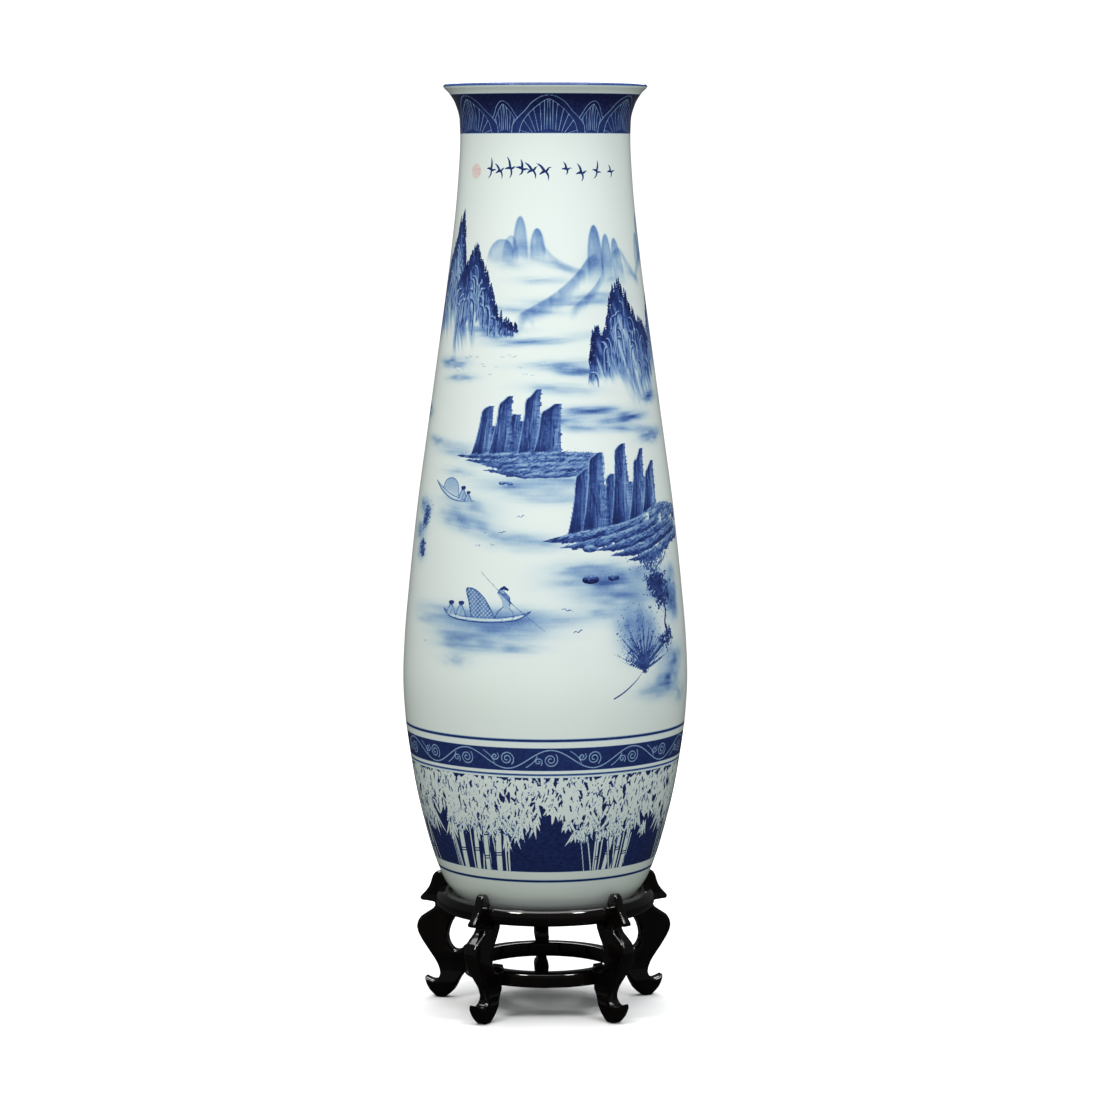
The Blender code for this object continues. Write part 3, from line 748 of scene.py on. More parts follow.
def hull(paint, gunwale, keel, tone, brush, low_width, low_brush):
    """A boat's side between its rim and its keel."""
    upper, lower = smooth_run(gunwale), smooth_run(keel)
    paint.fill(np.vstack((upper, lower[::-1])), lambda *_: (tone, 1))
    paint.stroke(upper, 1.5, 0.9, brush, brush)
    paint.stroke(lower, low_width, 1.0, low_brush, low_brush)


def boat(paint, middle, length, seed):
    """A slim boat with a netted canopy, a standing boatman, and its shadow on the water."""
    def spots(*points):
        return [paint.at(middle, x * length, (y + 0.03 * x) * length) for x, y in points]

    shadows = ((-0.1, 0.02, 0.8, 0.12, 0.46), (0.3, -0.02, 0.84, 0.09, 0.42),
               (0.1, -0.13, 0.66, 0.12, 0.44), (-0.24, -0.24, 0.42, 0.13, 0.42),
               (0.3, -0.3, 0.34, 0.07, 0.34), (-0.3, -0.44, 0.2, 0.08, 0.26))
    for x, y, half_x, half_y, tone in shadows:
        size = (half_x * length, half_y * length)
        paint.cloud(*spots((x, y)), size, tone, seed + int(40 * half_x), 0.4)
    rim = spots((-0.5, 0.08), (-0.38, 0.03), (-0.16, 0), (0.14, -0.006), (0.36, 0.02), (0.5, 0.06))
    keel = spots((-0.49, 0.065), (-0.4, 0), (-0.2, -0.035), (0.12, -0.045), (0.36, -0.02),
                 (0.49, 0.05))
    hull(paint, rim, keel, 0.1, 0.9, 2.4, 0.7)
    for x in (-0.34, -0.2, 0.2, 0.3):
        paint.stroke(spots((x, -0.035), (x + 0.02, 0)), 1.2, 0.8)
    for x in (-0.39, -0.26):
        seated(paint, *spots((x, 0.015)), length * 0.145)
    arch = spots((-0.13, 0), (-0.17, 0.15), (-0.205, 0.28), (-0.1, 0.275), (0.01, 0.19),
                 (0.09, 0.07), (0.13, 0))
    woven_canopy(paint, smooth_run(arch), 7.4)
    pole = spots((-0.05, 0.46), (0.3, 0.14), (0.64, -0.14))
    boatman(paint, *spots((0.22, 0)), length * 0.3, pole)


def small_boat(paint, middle, length, seed):
    """A boat further off, sloping away, with a low canopy and two figures."""
    def spots(*points):
        return [paint.at(middle, x * length, (y - 0.34 * x) * length) for x, y in points]

    for x, y, half_x, half_y in ((0.3, -0.1, 0.7, 0.2), (0.5, -0.36, 0.6, 0.18),
                                 (0.1, -0.4, 0.5, 0.16)):
        size = (length * half_x, length * half_y)
        paint.cloud(*spots((x, y)), size, 0.36, seed, 0.4, -0.1)
    hull(paint, spots((-0.5, 0.03), (-0.3, -0.01), (0, -0.03), (0.3, 0), (0.5, 0.06)),
         spots((-0.49, 0.02), (-0.28, -0.07), (0.05, -0.1), (0.49, 0.05)), 0.14, 0.8, 2.0, 0.6)
    arch = smooth_run(spots((-0.26, 0), (-0.19, 0.15), (-0.02, 0.25), (0.12, 0.2), (0.16, 0)))
    paint.fill(arch, lambda x, y, away: (0.26 + 0.12 * ease(y, y.min(), y.max()), 1))
    paint.line(arch, 1.2, 0.85)
    for x, size in ((0.25, 0.22), (0.37, 0.18)):
        seated(paint, *spots((x, 0)), length * size)
    paint.stroke(spots((0.32, -0.2), (0.2, -0.7)), 1.1, 0.5)


def foliage(paint, middle, half_x, half_y, count, size, seed, tone=1.0):
    """Leaves as many short dabs, thicker towards the middle."""
    rng = np.random.default_rng(seed)
    for _ in range(count):
        x, y = rng.normal(0, 0.45, 2)
        place = paint.at(middle, x * half_x, y * half_y)
        turn = rng.uniform(0, math.pi)
        length = size * rng.uniform(0.5, 1.1)
        paint.dab(place, length * math.cos(turn), length * 0.7 * math.sin(turn),
                  size * rng.uniform(0.35, 0.6), tone * rng.uniform(0.72, 1.06), 0.7, 0.5)


def branch(paint, start, points, width, tone=0.95):
    """A thin branch through offsets in mm from its start."""
    paint.stroke(smooth_run(paint.around(start, [(0, 0), *points]), 4), width, tone, 1.0, 0.3)


def leaning_tree(paint, root, seed):
    """An old tree over the edge of a rock, with a dark tier, a pale tier and a leafy top."""
    for x, y, half_x, half_y, tone in ((18, 66, 34, 30, 0.6), (26, 46, 26, 30, 0.46),
                                       (26, 104, 30, 18, 0.3)):
        paint.cloud(paint.at(root, x, y), (half_x, half_y), tone, seed + x, 0.2)
    foliage(paint, paint.at(root, 20, 62), 34, 32, 190, 4.6, seed + 1, 0.66)
    branch(paint, root, [(-9, 18), (-4, 40), (-10, 56), (-20, 78), (-30, 106)], 4.0, 1.0)
    fork = paint.at(root, -30, 106)
    branch(paint, fork, [(14, 14), (32, 22), (46, 40), (52, 66)], 2.4, 0.85)
    branch(paint, fork, [(-8, 10), (-26, 18)], 1.8)
    paint.cloud(paint.at(root, -26, 84), (30, 24), 0.6, seed + 9, 0.2)
    clumps = ((-26, 88, 34, 22, 460, 5.4, 1.1), (-14, 64, 26, 20, 240, 5.0, 1.08),
              (-40, 122, 40, 15, 250, 4.2, 0.95), (-8, 134, 30, 10, 110, 4.0, 0.8),
              (0, -4, 16, 22, 170, 4.8, 1.08))
    for index, (x, y, half_x, half_y, count, size, tone) in enumerate(clumps):
        foliage(paint, paint.at(root, x, y), half_x, half_y, count, size, seed + 2 + index, tone)


def round_bush(paint, root, size, seed):
    """A fan of fine twigs under a round crown of pale wash and small leaves."""
    tone = 0.95
    rng = np.random.default_rng(seed)
    crown = paint.at(root, -size * 0.06, size * 0.66)
    for x, y, half in ((0, 0, 0.46), (-0.26, 0.06, 0.3), (0.26, 0.04, 0.3), (0.0, 0.26, 0.3),
                       (-0.2, -0.24, 0.26), (0.16, -0.24, 0.24)):
        paint.cloud(paint.at(crown, x * size, y * size), (half * size, half * size),
                    0.24, seed, 0.12)
    for turn in np.linspace(8, 172, 27):
        reach = size * rng.uniform(0.66, 0.98)
        heading = math.radians(turn + rng.uniform(-4, 4))
        tip = (reach * math.cos(heading) * 0.74, size * 0.1 + reach * math.sin(heading) * 0.86)
        branch(paint, root, [(tip[0] * 0.3, tip[1] * 0.4), (tip[0] * 0.72, tip[1] * 0.72), tip],
               1.7, tone)
        for share in (0.5, 0.72):
            twig = (tip[0] * share + rng.uniform(-10, 10), tip[1] * share + rng.uniform(8, 18))
            branch(paint, root, [(tip[0] * share, tip[1] * share), twig], 1.1, tone * 0.9)
    for _ in range(150):
        turn = rng.uniform(0, 2 * math.pi)
        reach = size * 0.5 * rng.uniform(0.1, 1.0) ** 0.5
        place = paint.at(crown, 1.02 * reach * math.cos(turn), reach * math.sin(turn))
        paint.dab(place, rng.uniform(-1.6, 1.6), rng.uniform(-1.6, 1.6), rng.uniform(1.3, 2.2),
                  tone * rng.uniform(0.6, 0.95), 0.9, 0.9)
    foliage(paint, paint.at(root, 0, size * 0.22), size * 0.15, size * 0.16, 90, 3.2, seed + 2)
    foliage(paint, root, size * 0.08, size * 0.06, 30, 4.0, seed + 3, 1.05)


def mist(paint):
    """The soft washes between the mountains."""
    streaks = [(-34, 1180, 56, 6, 0.42), (-10, 1160, 66, 6, 0.44), (-30, 1168, 40, 9, 0.3),
               (34, 1172, 60, 6, 0.34), (6, 1124, 70, 7, 0.32), (16, 1112, 50, 9, 0.5),
               (-60, 1122, 40, 9, 0.5), (-52, 1098, 36, 7, 0.34), (6, 1082, 60, 9, 0.34),
               (20, 1046, 64, 8, 0.46), (4, 1030, 46, 7, 0.44), (12, 1018, 60, 7, 0.3),
               (-88, 1036, 30, 12, 0.7), (40, 1032, 56, 9, 0.6), (44, 1014, 60, 7, 0.34),
               (14, 1226, 84, 8, 0.3), (30, 1236, 50, 8, 0.3), (-14, 1212, 66, 6, 0.28),
               (-4, 1262, 50, 6, 0.24), (62, 1066, 34, 12, 0.5), (-66, 990, 36, 8, 0.34),
               (-44, 1214, 50, 6, 0.24), (60, 1000, 40, 12, 0.46)]
    for index, (angle, height, half_x, half_y, tone) in enumerate(streaks):
        lean = 0.06 * math.sin(index * 2.1)
        size = (half_x * 1.1, half_y * 1.15)
        paint.cloud((angle, height), size, 1.25 * tone, 40 + index, 0.45, lean)
        paint.cloud((angle + 178, height + 22), size, 1.25 * tone, 80 + index, 0.45, lean)


def water(paint):
    """Broad pale strokes of water round the banks."""
    strokes = [(-48, 978, 60, 13, 0.4), (-14, 924, 96, 15, 0.4), (0, 904, 84, 14, 0.34),
               (8, 932, 70, 12, 0.34), (-46, 942, 44, 10, 0.26), (-26, 958, 60, 8, 0.3),
               (-8, 828, 72, 15, 0.42), (-20, 838, 54, 11, 0.26), (16, 786, 70, 16, 0.4),
               (22, 762, 96, 22, 0.56), (30, 736, 78, 18, 0.5), (24, 712, 60, 14, 0.32),
               (40, 774, 60, 14, 0.4), (34, 690, 40, 12, 0.2), (56, 590, 44, 28, 0.54),
               (46, 572, 46, 16, 0.34), (62, 626, 38, 28, 0.5), (50, 640, 30, 24, 0.3),
               (-74, 836, 30, 18, 0.5), (-72, 880, 28, 16, 0.44), (-70, 800, 24, 16, 0.4),
               (-60, 690, 34, 9, 0.2), (66, 560, 30, 20, 0.3)]
    for index, (angle, height, half_x, half_y, tone) in enumerate(strokes):
        paint.cloud((angle, height), (half_x, half_y), tone, 120 + index, 0.4)
        paint.cloud((angle - 172, height - 14), (half_x, half_y), 0.75 * tone, 160 + index, 0.4)


def front_mountains(paint):
    """Pale far peaks over their slopes, then four steep pine mountains, rear ones first."""
    for angle, height, half_x, half_y, tone, lean in (
            (-24, 1290, 34, 12, 0.2, -0.1), (-6, 1296, 40, 10, 0.2, -0.3),
            (8, 1284, 34, 7, 0.2, -0.3),
            (33, 1292, 28, 24, 0.26, 0.0), (-16, 1316, 32, 13, 0.24, 0.0),
            (40, 1262, 44, 14, 0.2, 0.0), (56, 1276, 26, 12, 0.2, -0.4)):
        paint.cloud((angle, height), (half_x, half_y), tone, 190 + half_x, 0.4, lean)
    for ridge, drop, tone, seed, ends in (
            ([(-7, 1336), (-3, 1322), (3, 1303), (12, 1288), (24, 1277)], 24, 0.26, 26, 14),
            ([(-20, 1202), (-10, 1219), (0, 1236), (10, 1258), (18, 1280), (24, 1300), (32, 1310)],
             42, 0.44, 22, 18),
            ([(10, 1212), (20, 1234), (28, 1256), (35, 1280)], 28, 0.36, 24, 16),
            ([(40, 1306), (48, 1316), (54, 1300), (62, 1276), (70, 1262)], 26, 0.3, 27, 12),
            ([(60, 1262), (72, 1300), (82, 1316), (94, 1302), (106, 1262)], 34, 0.3, 28, 22),
            ([(-104, 1262), (-94, 1300), (-86, 1310), (-78, 1262)], 34, 0.3, 29, 22)):
        far_slope(paint, ridge, drop, tone, seed, ends)
    peaks = ((-29, 1331, 25, 46, 0.36, -0.1), (-23.5, 1337, 14, 50, 0.26, 0),
             (-18, 1369, 12.5, 84, 0.5, 0.03), (-7.3, 1349, 12.5, 60, 0.5, 0.05),
             (28.9, 1354, 15, 106, 0.52, 0), (37.2, 1339, 11.5, 84, 0.48, 0),
             (44.0, 1332, 12.5, 80, 0.46, 0.12), (72, 1340, 16, 70, 0.36, 0),
             (79, 1374, 15, 100, 0.42, -0.04), (86, 1352, 15, 80, 0.4, 0.06))
    for index, (angle, height, half, tall, tone, lean) in enumerate(peaks):
        far_peak(paint, (angle, height), half, tall, tone, 201 + index, lean)
    mist(paint)
    pine_mountain(paint, [(-92, 1220), (-84, 1262), (-77, 1296), (-71, 1336), (-67.4, 1358),
                          (-65, 1364), (-62.4, 1340), (-60, 1306), (-57, 1272), (-54, 1250)],
                  [(-92, 1130), (-72, 1128), (-54, 1142)], 31, tall=(12, 22))
    pine_mountain(paint, [(-62, 1250), (-56, 1276), (-52, 1296), (-48.5, 1306), (-45, 1298),
                          (-41, 1276), (-37, 1258), (-34, 1232), (-30, 1206), (-25, 1190),
                          (-17, 1176)],
                  [(-62, 1110), (-50, 1120), (-38, 1150), (-28, 1164), (-17, 1168)], 32, 1.06,
                  tall=(11, 20), ends=(6.0, 30.0))
    pine_mountain(paint, [(22, 1128), (24.5, 1158), (26.5, 1172), (31, 1170), (34, 1190),
                          (36.6, 1212), (39.6, 1236), (43.6, 1248), (47.7, 1236), (52, 1212),
                          (57, 1196), (63, 1184), (70.7, 1164), (77, 1146)],
                  [(19, 1078), (33, 1070), (46, 1016), (60, 1040), (78, 1070)], 33, 1.06,
                  tall=(12, 22), ends=(3.0, 12.0))
    pine_mountain(paint, [(72, 1180), (80, 1228), (88, 1262), (96, 1236), (106, 1190)],
                  [(72, 1090), (90, 1074), (106, 1096)], 34, 0.9)


def rock_group(paint, slabs, seed):
    """Slabs given by top left, tip, foot left and foot right, drawn from the back."""
    for index, corners in enumerate(slabs):
        slab(paint, *corners, seed + index)


def banks(paint):
    """The two groups of rock slabs on their combed banks."""
    water(paint)
    rock_group(paint, (
        ((-35.0, 1016), (-16.0, 1022), (-39.0, 972), (-10.0, 972)),
        ((-21.0, 1026), (0.0, 1034), (-24.0, 972), (5.4, 972)),
        ((-19.6, 1038), (-13.8, 1041), (-22.0, 972), (-12.4, 972)),
        ((-35.0, 1047), (-28.0, 1054), (-39.2, 972), (-27.4, 972)),
        ((-25.6, 1060), (-18.2, 1071), (-29.6, 972), (-17.6, 972)),
        ((-12.0, 1068), (-3.8, 1083), (-15.2, 972), (-4.6, 972)),
        ((-4.4, 1047), (6.2, 1059), (-7.8, 972), (5.2, 972))), 210)
    tongues = (
        ([(-49.8, 968), (-38, 969), (-22, 972), (-4, 974), (10, 974), (26, 970)], 6.5),
        ([(-43, 962), (-30, 961), (-14, 964), (4, 967), (26, 962)], 6.5),
        ([(-33, 956), (-22, 953), (-8, 956), (8, 959), (26, 956)], 6.0),
        ([(-32, 947), (-20, 945), (-6, 948), (10, 951), (26, 950)], 6.5),
        ([(-23, 941), (-10, 940), (6, 943), (24, 945)], 5.0))
    for index, (spine, thick) in enumerate(tongues):
        bank(paint, spine, thick, 220 + index)
    stones(paint, (-19, 926), 222, 3, 5.0)
    rock_group(paint, (
        ((12.0, 910), (28.0, 918), (8.6, 842), (33.0, 846)),
        ((26.0, 918), (43.0, 926), (22.0, 842), (46.0, 856)),
        ((40.0, 926), (56.0, 932), (36.0, 850), (57.0, 866)),
        ((26.4, 936), (31.6, 941), (22.6, 842), (32.0, 850)),
        ((11.6, 940), (18.6, 950), (7.4, 842), (18.4, 842)),
        ((18.4, 968), (25.6, 977), (14.0, 842), (26.4, 846)),
        ((32.0, 982), (38.8, 990), (27.6, 848), (40.2, 856)),
        ((42.8, 960), (50.8, 980), (37.0, 854), (48.0, 862)),
        ((50.4, 942), (58.6, 958), (45.2, 862), (56.6, 870))), 240)
    tongues = (
        ([(40, 862), (54, 874), (66, 876), (84, 856)], 12.0),
        ([(24, 846), (38, 854), (52, 866), (66, 874), (80, 868)], 11.0),
        ([(28, 832), (42, 842), (56, 856), (70, 866), (82, 862)], 11.0),
        ([(-3.8, 831), (6, 836), (20, 844), (34, 852), (50, 866)], 9.5),
        ([(4.1, 821), (14, 825), (28, 834), (44, 848), (60, 862)], 9.0),
        ([(19, 815), (29, 820), (42, 830), (58, 846), (74, 856)], 9.0),
        ([(26, 805), (36, 810), (48, 820), (62, 836), (78, 848)], 9.5),
        ([(35, 796), (45, 800), (56, 810), (68, 824), (82, 834)], 9.5))
    for index, (spine, thick) in enumerate(tongues):
        bank(paint, spine, thick, 250 + index, 1.04)
    boulder(paint, (17, 817), 9, 253)
    boulder(paint, (17, 766), 11, 256, 1.35)
    boulder(paint, (27.5, 768), 8, 259, 1.2)


def near_scene(paint):
    """The boats, the birds, and the tree and the bush that lean in at the right."""
    small_boat(paint, (-48.4, 906), 98, 300)
    boat(paint, (-28.2, 703), 168, 310)
    branch(paint, (25.8, 566), [(20, 10), (46, 28), (62, 43)], 2.4, 0.9)
    branch(paint, (40.7, 609), [(20, 18), (46, 36), (66, 46), (76, 62)], 3.2, 1.0)
    foliage(paint, (53, 655), 14, 12, 90, 4.4, 341, 1.08)
    leaning_tree(paint, (57.5, 664), 320)
    round_bush(paint, (40.7, 609), 100, 330)
    for angle, height, half in ((-67, 868, 15), (-68, 852, 12), (-69, 812, 12), (-68, 800, 9)):
        paint.cloud((angle, height), (half, half), 0.6, 351, 0.3)
        foliage(paint, (angle, height), half, half, 80, 4.6, 350 + int(height), 1.0)
    flock = ((-12.8, 871, 8), (-25.5, 823, 7), (-21.1, 844, 8), (-29.2, 843, 7),
             (-31.8, 821, 7), (6.7, 716, 10), (11.1, 680, 10), (-59.6, 653, 7))
    for index, (angle, height, size) in enumerate(flock):
        bird(paint, (angle, height), size, 0.85, 0.1 * (-1) ** index)
    rng = np.random.default_rng(360)
    for index in range(19):
        place = (-60 + index * 3.2 + rng.uniform(-1, 1), 1122 - 12 * math.sin(index * 0.9)
                 + rng.uniform(-7, 7))
        bird(paint, place, 5.5, 0.45, rng.uniform(-0.1, 0.1))


def back_landscape(paint):
    """The same kinds of view carried round the back, in another order."""
    for start, seed in ((112, 61), (188, 62)):
        slope = [(start - 10, 1262), (start + 8, 1290), (start + 30, 1296), (start + 52, 1258)]
        far_slope(paint, slope, 34, 0.34, seed)
        for index, (turn, top, half) in enumerate(((10, 1336, 22), (20, 1366, 15), (29, 1350, 13),
                                                   (38, 1334, 16))):
            far_peak(paint, (start + turn, top), half, 74, 0.46, seed + 10 * index)
    pine_mountain(paint, [(124, 1130), (132, 1204), (142, 1240), (150, 1262), (157, 1238),
                          (166, 1206), (180, 1150)], [(122, 1070), (150, 1050), (180, 1100)], 63)
    pine_mountain(paint, [(200, 1150), (210, 1230), (219, 1284), (226, 1252), (236, 1210),
                          (250, 1150)], [(198, 1080), (224, 1070), (250, 1100)], 64)
    for base, level, seed in ((136.0, 962, 400), (206.0, 858, 420)):
        slabs = []
        for index in range(5):
            left = base - 20 + index * 8.2
            top = level + 84 + 26 * (index % 2) + 5 * index
            slabs.append(((left + 2.6, top - 8), (left + 10.0, top), (left, level),
                          (left + 8.6, level)))
        rock_group(paint, slabs, seed)
        bank(paint, [(base - 26, level - 24), (base - 10, level - 22), (base + 20, level - 14)],
             8, seed + 7)
        bank(paint, [(base - 38, level - 8), (base - 20, level - 8), (base, level - 4),
                     (base + 20, level - 4), (base + 36, level - 12)], 13, seed + 8)
        stones(paint, (base + 4, level - 62), seed + 9, 4, 6.0)
    boat(paint, (150, 726), 168, 440)
    small_boat(paint, (-146, 742), 96, 450)
    leaning_tree(paint, (-100, 640), 460)
    round_bush(paint, (190, 600), 84, 470)
    for index, (angle, height) in enumerate(((112, 800), (118, 812), (124, 796), (-160, 900))):
        bird(paint, (angle, height), 8, 0.8, 0.08 * (-1) ** index)


def paint_vase(angles, heights, radii):
    """The painting's channels for each row and column of the outer wall."""
    paint = Painting(angles, heights, radii)
    for layer in (plain_bands, lotus_band, scroll_band, bamboo_frieze, front_mountains, banks,
                  near_scene, back_landscape, geese_row):
        layer(paint)
    return paint.channels()


# Vase mesh --------------------------------------------------------------------

def new_object(name, data):
    made = bpy.data.objects.new(name, data)
    bpy.context.scene.collection.objects.link(made)
    return made


def read_places(mesh):
    places = np.empty(len(mesh.vertices) * 3)
    mesh.vertices.foreach_get("co", places)
    return places.reshape(-1, 3)


def low_high(node):
    """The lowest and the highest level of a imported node."""
    low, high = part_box(node)
    return low[2], high[2]


def wall_curve(facing):
    """(height, radius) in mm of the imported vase's outer (1) or inner (-1) wall."""
    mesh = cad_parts["vase_body"].data
    places = read_places(mesh) / MM
    normals = np.empty(places.size)
    mesh.vertex_normals.foreach_get("vector", normals)
    normals = normals.reshape(-1, 3)
    radius = np.hypot(places[:, 0], places[:, 1])
    outward = (places[:, 0] * normals[:, 0] + places[:, 1] * normals[:, 1]) / np.maximum(radius, 1)
    steep = (outward * facing > 0.35) & (radius > 20)
    return places[steep, 2], radius[steep]


def merge_levels(heights, radii, pick):
    """One radius for each height, lowest first."""
    levels = {}
    for height, radius in zip(np.round(heights, 1), radii):
        levels[height] = pick(levels.get(height, radius), radius)
    order = sorted(levels)
    return np.array(order), np.array([levels[height] for height in order])


def flowing(levels, radii, heights):
    """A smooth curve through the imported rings, read at the given heights."""
    chords = np.diff(radii) / np.diff(levels)
    inner = np.where(chords[:-1] * chords[1:] > 0,
                     2 * chords[:-1] * chords[1:] / (chords[:-1] + chords[1:] + 1e-12), 0.0)
    slopes = np.concatenate((chords[:1], inner, chords[-1:]))
    index = np.clip(np.searchsorted(levels, heights) - 1, 0, len(levels) - 2)
    rise = levels[index + 1] - levels[index]
    t = np.clip((heights - levels[index]) / rise, 0, 1)
    start, end = radii[index], radii[index + 1]
    first, last = slopes[index] * rise, slopes[index + 1] * rise
    bend = 2 * (start - end) + first + last
    turn_in = 3 * (end - start) - 2 * first - last
    return start + t * (first + t * (turn_in + t * bend))


def soften(heights, radii, reach):
    """Rounds the curve's small kinks, but not near its ends."""
    even = np.arange(heights[0], heights[-1], 1.0)
    curve = np.interp(even, heights, radii)
    span = np.arange(-3 * reach, 3 * reach + 1)
    weights = np.exp(-0.5 * (span / reach) ** 2)
    padded = np.pad(curve, 3 * reach, mode="reflect", reflect_type="odd")
    smooth = np.convolve(padded, weights / weights.sum(), "valid")
    inset = np.minimum(even - even[0], even[-1] - even)
    share = ease(inset, 30, 110)
    return np.interp(heights, even, curve + (smooth - curve) * share)


def row_heights(low, high):
    """Rows up the outer wall: fine in the bands, coarser on plain glaze."""
    stops = ((low, FOOT_LINE - 4, PLAIN_ROW), (FOOT_LINE - 4, SCROLL_LINE + 4, BAND_ROW),
             (SCROLL_LINE + 4, SCENE_TOP, SCENE_ROW), (SCENE_TOP, LOTUS_LOW - 3, PLAIN_ROW),
             (LOTUS_LOW - 3, high, BAND_ROW))
    rows = []
    for start, end, step in stops:
        rows.extend(np.linspace(start, end, max(2, round((end - start) / step)), endpoint=False))
    return np.array(rows + [high])


def column_angles(radius):
    """Angles round the vase, fine at the front and coarser at the back."""
    even = np.linspace(-180, 180, 7201)
    step = FINE_STEP + (COARSE_STEP - FINE_STEP) * ease(abs(even), FINE_HALF, FINE_HALF + 25)
    density = np.radians(1.0) * radius / step
    total = np.concatenate(([0], np.cumsum((density[1:] + density[:-1]) / 2 * np.diff(even))))
    count = int(round(total[-1]))
    return np.interp(np.arange(count) / count * total[-1], total, even)


def vase_rows():
    """The whole closed profile as (radius, height), and where the painted rows start."""
    base, top = (level / MM for level in low_high("vase_body"))
    levels, radii = merge_levels(*wall_curve(1), max)
    mouth = radii[levels > 1500].max()
    lip_start = levels[np.argmax(np.where(levels > 1500, radii, 0))]
    keep = (levels > base + 1) & (levels <= lip_start + 0.05)
    levels, radii = levels[keep], radii[keep]
    heights = row_heights(levels[0], lip_start)
    outer = soften(heights, flowing(levels, radii, heights), 14)
    inner_levels, inner_radii = merge_levels(*wall_curve(-1), min)
    keep = (inner_levels > base + 20) & (inner_levels < lip_start - 2)
    inner_levels, inner_radii = inner_levels[keep], inner_radii[keep]
    inside = np.linspace(inner_levels[-1], inner_levels[0], INNER_ROWS)
    inner = flowing(inner_levels, inner_radii, inside)
    foot = [(60.0, base + 7), (110.0, base + 7), (131.0, base + 7), (134.5, base + 6),
            (136.2, base + 2.5), (138.0, base + 0.4), (140.5, base), (146.5, base),
            (148.4, base + 0.25), (149.5, base + 0.8)]
    turned = np.linspace(0, math.pi, LIP_ROWS + 1)[1:-1]
    inner_lip = inner[0] + (top - lip_start)
    middle, half = (mouth + inner_lip) / 2, (mouth - inner_lip) / 2
    lip = [(middle + half * math.cos(turn), lip_start + (top - lip_start) * math.sin(turn))
           for turn in turned]
    floor_height = inside[-1] - 9
    floor = [(inner[-1] - 9 * (1 - math.cos(turn)), inside[-1] - 9 * math.sin(turn))
             for turn in np.linspace(0.25, math.pi / 2, 6)]
    floor += [(radius, floor_height) for radius in (110.0, 70.0, 30.0)]
    profile = foot + list(zip(outer, heights)) + lip + list(zip(inner, inside)) + floor
    return np.array(profile), len(foot), heights, outer, (base + 7, floor_height)


def build_vase(glaze, biscuit):
    profile, first, heights, outer, poles = vase_rows()
    angles = column_angles(BELLY_RADIUS)
    rows, columns = len(profile), len(angles)
    turned = np.radians(angles)
    points = np.empty((rows, columns, 3))
    points[..., 0] = profile[:, :1] * np.sin(turned)
    points[..., 1] = -profile[:, :1] * np.cos(turned)
    points[..., 2] = profile[:, 1:]
    ends = np.array([[0, 0, poles[0]], [0, 0, poles[1]]])
    places = np.vstack((points.reshape(-1, 3), ends)) * MM
    paint = np.zeros((rows, columns, 4))
    paint[first:first + len(heights)] = paint_vase(angles, heights, outer)
    rim = slice(first + len(heights), first + len(heights) + LIP_ROWS // 2)
    paint[rim, :, 0] = RIM_TONE
    colours = np.vstack((paint.reshape(-1, 4), np.zeros((2, 4))))
    mesh = grid_mesh("vase_body_glazed", places, rows, columns)
    layer = mesh.color_attributes.new("paint", "FLOAT_COLOR", "POINT")
    layer.data.foreach_set("color", colours.astype(np.float32).ravel())
    lay_out(mesh, profile, angles, rows, columns)
    ring_faces = np.zeros(len(mesh.polygons), np.int32)
    ring_faces[BISCUIT_ROWS[0] * columns:BISCUIT_ROWS[1] * columns] = 1
    mesh.materials.append(glaze)
    mesh.materials.append(biscuit)
    mesh.polygons.foreach_set("material_index", ring_faces)
    mesh.shade_smooth()
    vase = new_object("vase_body_glazed", mesh)
    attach(vase, "vase")
    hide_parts("vase_body")


def grid_mesh(name, places, rows, columns):
    """A closed lathe grid: quads between rows, and a fan at each pole."""
    row = np.arange(rows - 1)[:, None] * columns
    column = np.arange(columns)[None, :]
    following = (column + 1) % columns
    quads = np.stack((row + column, row + following, row + columns + following,
                      row + columns + column), axis=-1).reshape(-1)
    low_pole, high_pole = rows * columns, rows * columns + 1
    last = (rows - 1) * columns
    low_fan = np.stack((np.full(columns, low_pole), following[0], column[0]), axis=-1)
    high_fan = np.stack((np.full(columns, high_pole), last + column[0], last + following[0]),
                        axis=-1)
    corners = np.concatenate((quads, low_fan.reshape(-1), high_fan.reshape(-1)))
    quad_count, fan_count = (rows - 1) * columns, 2 * columns
    starts = np.concatenate((np.arange(quad_count) * 4,
                             quad_count * 4 + np.arange(fan_count) * 3))
    mesh = bpy.data.meshes.new(name)
    mesh.vertices.add(len(places))
    mesh.vertices.foreach_set("co", places.astype(np.float32).ravel())
    mesh.loops.add(len(corners))
    mesh.loops.foreach_set("vertex_index", corners.astype(np.int32))
    mesh.polygons.add(len(starts))
    mesh.polygons.foreach_set("loop_start", starts.astype(np.int32))
    mesh.update(calc_edges=True)
    mesh.validate()
    return mesh


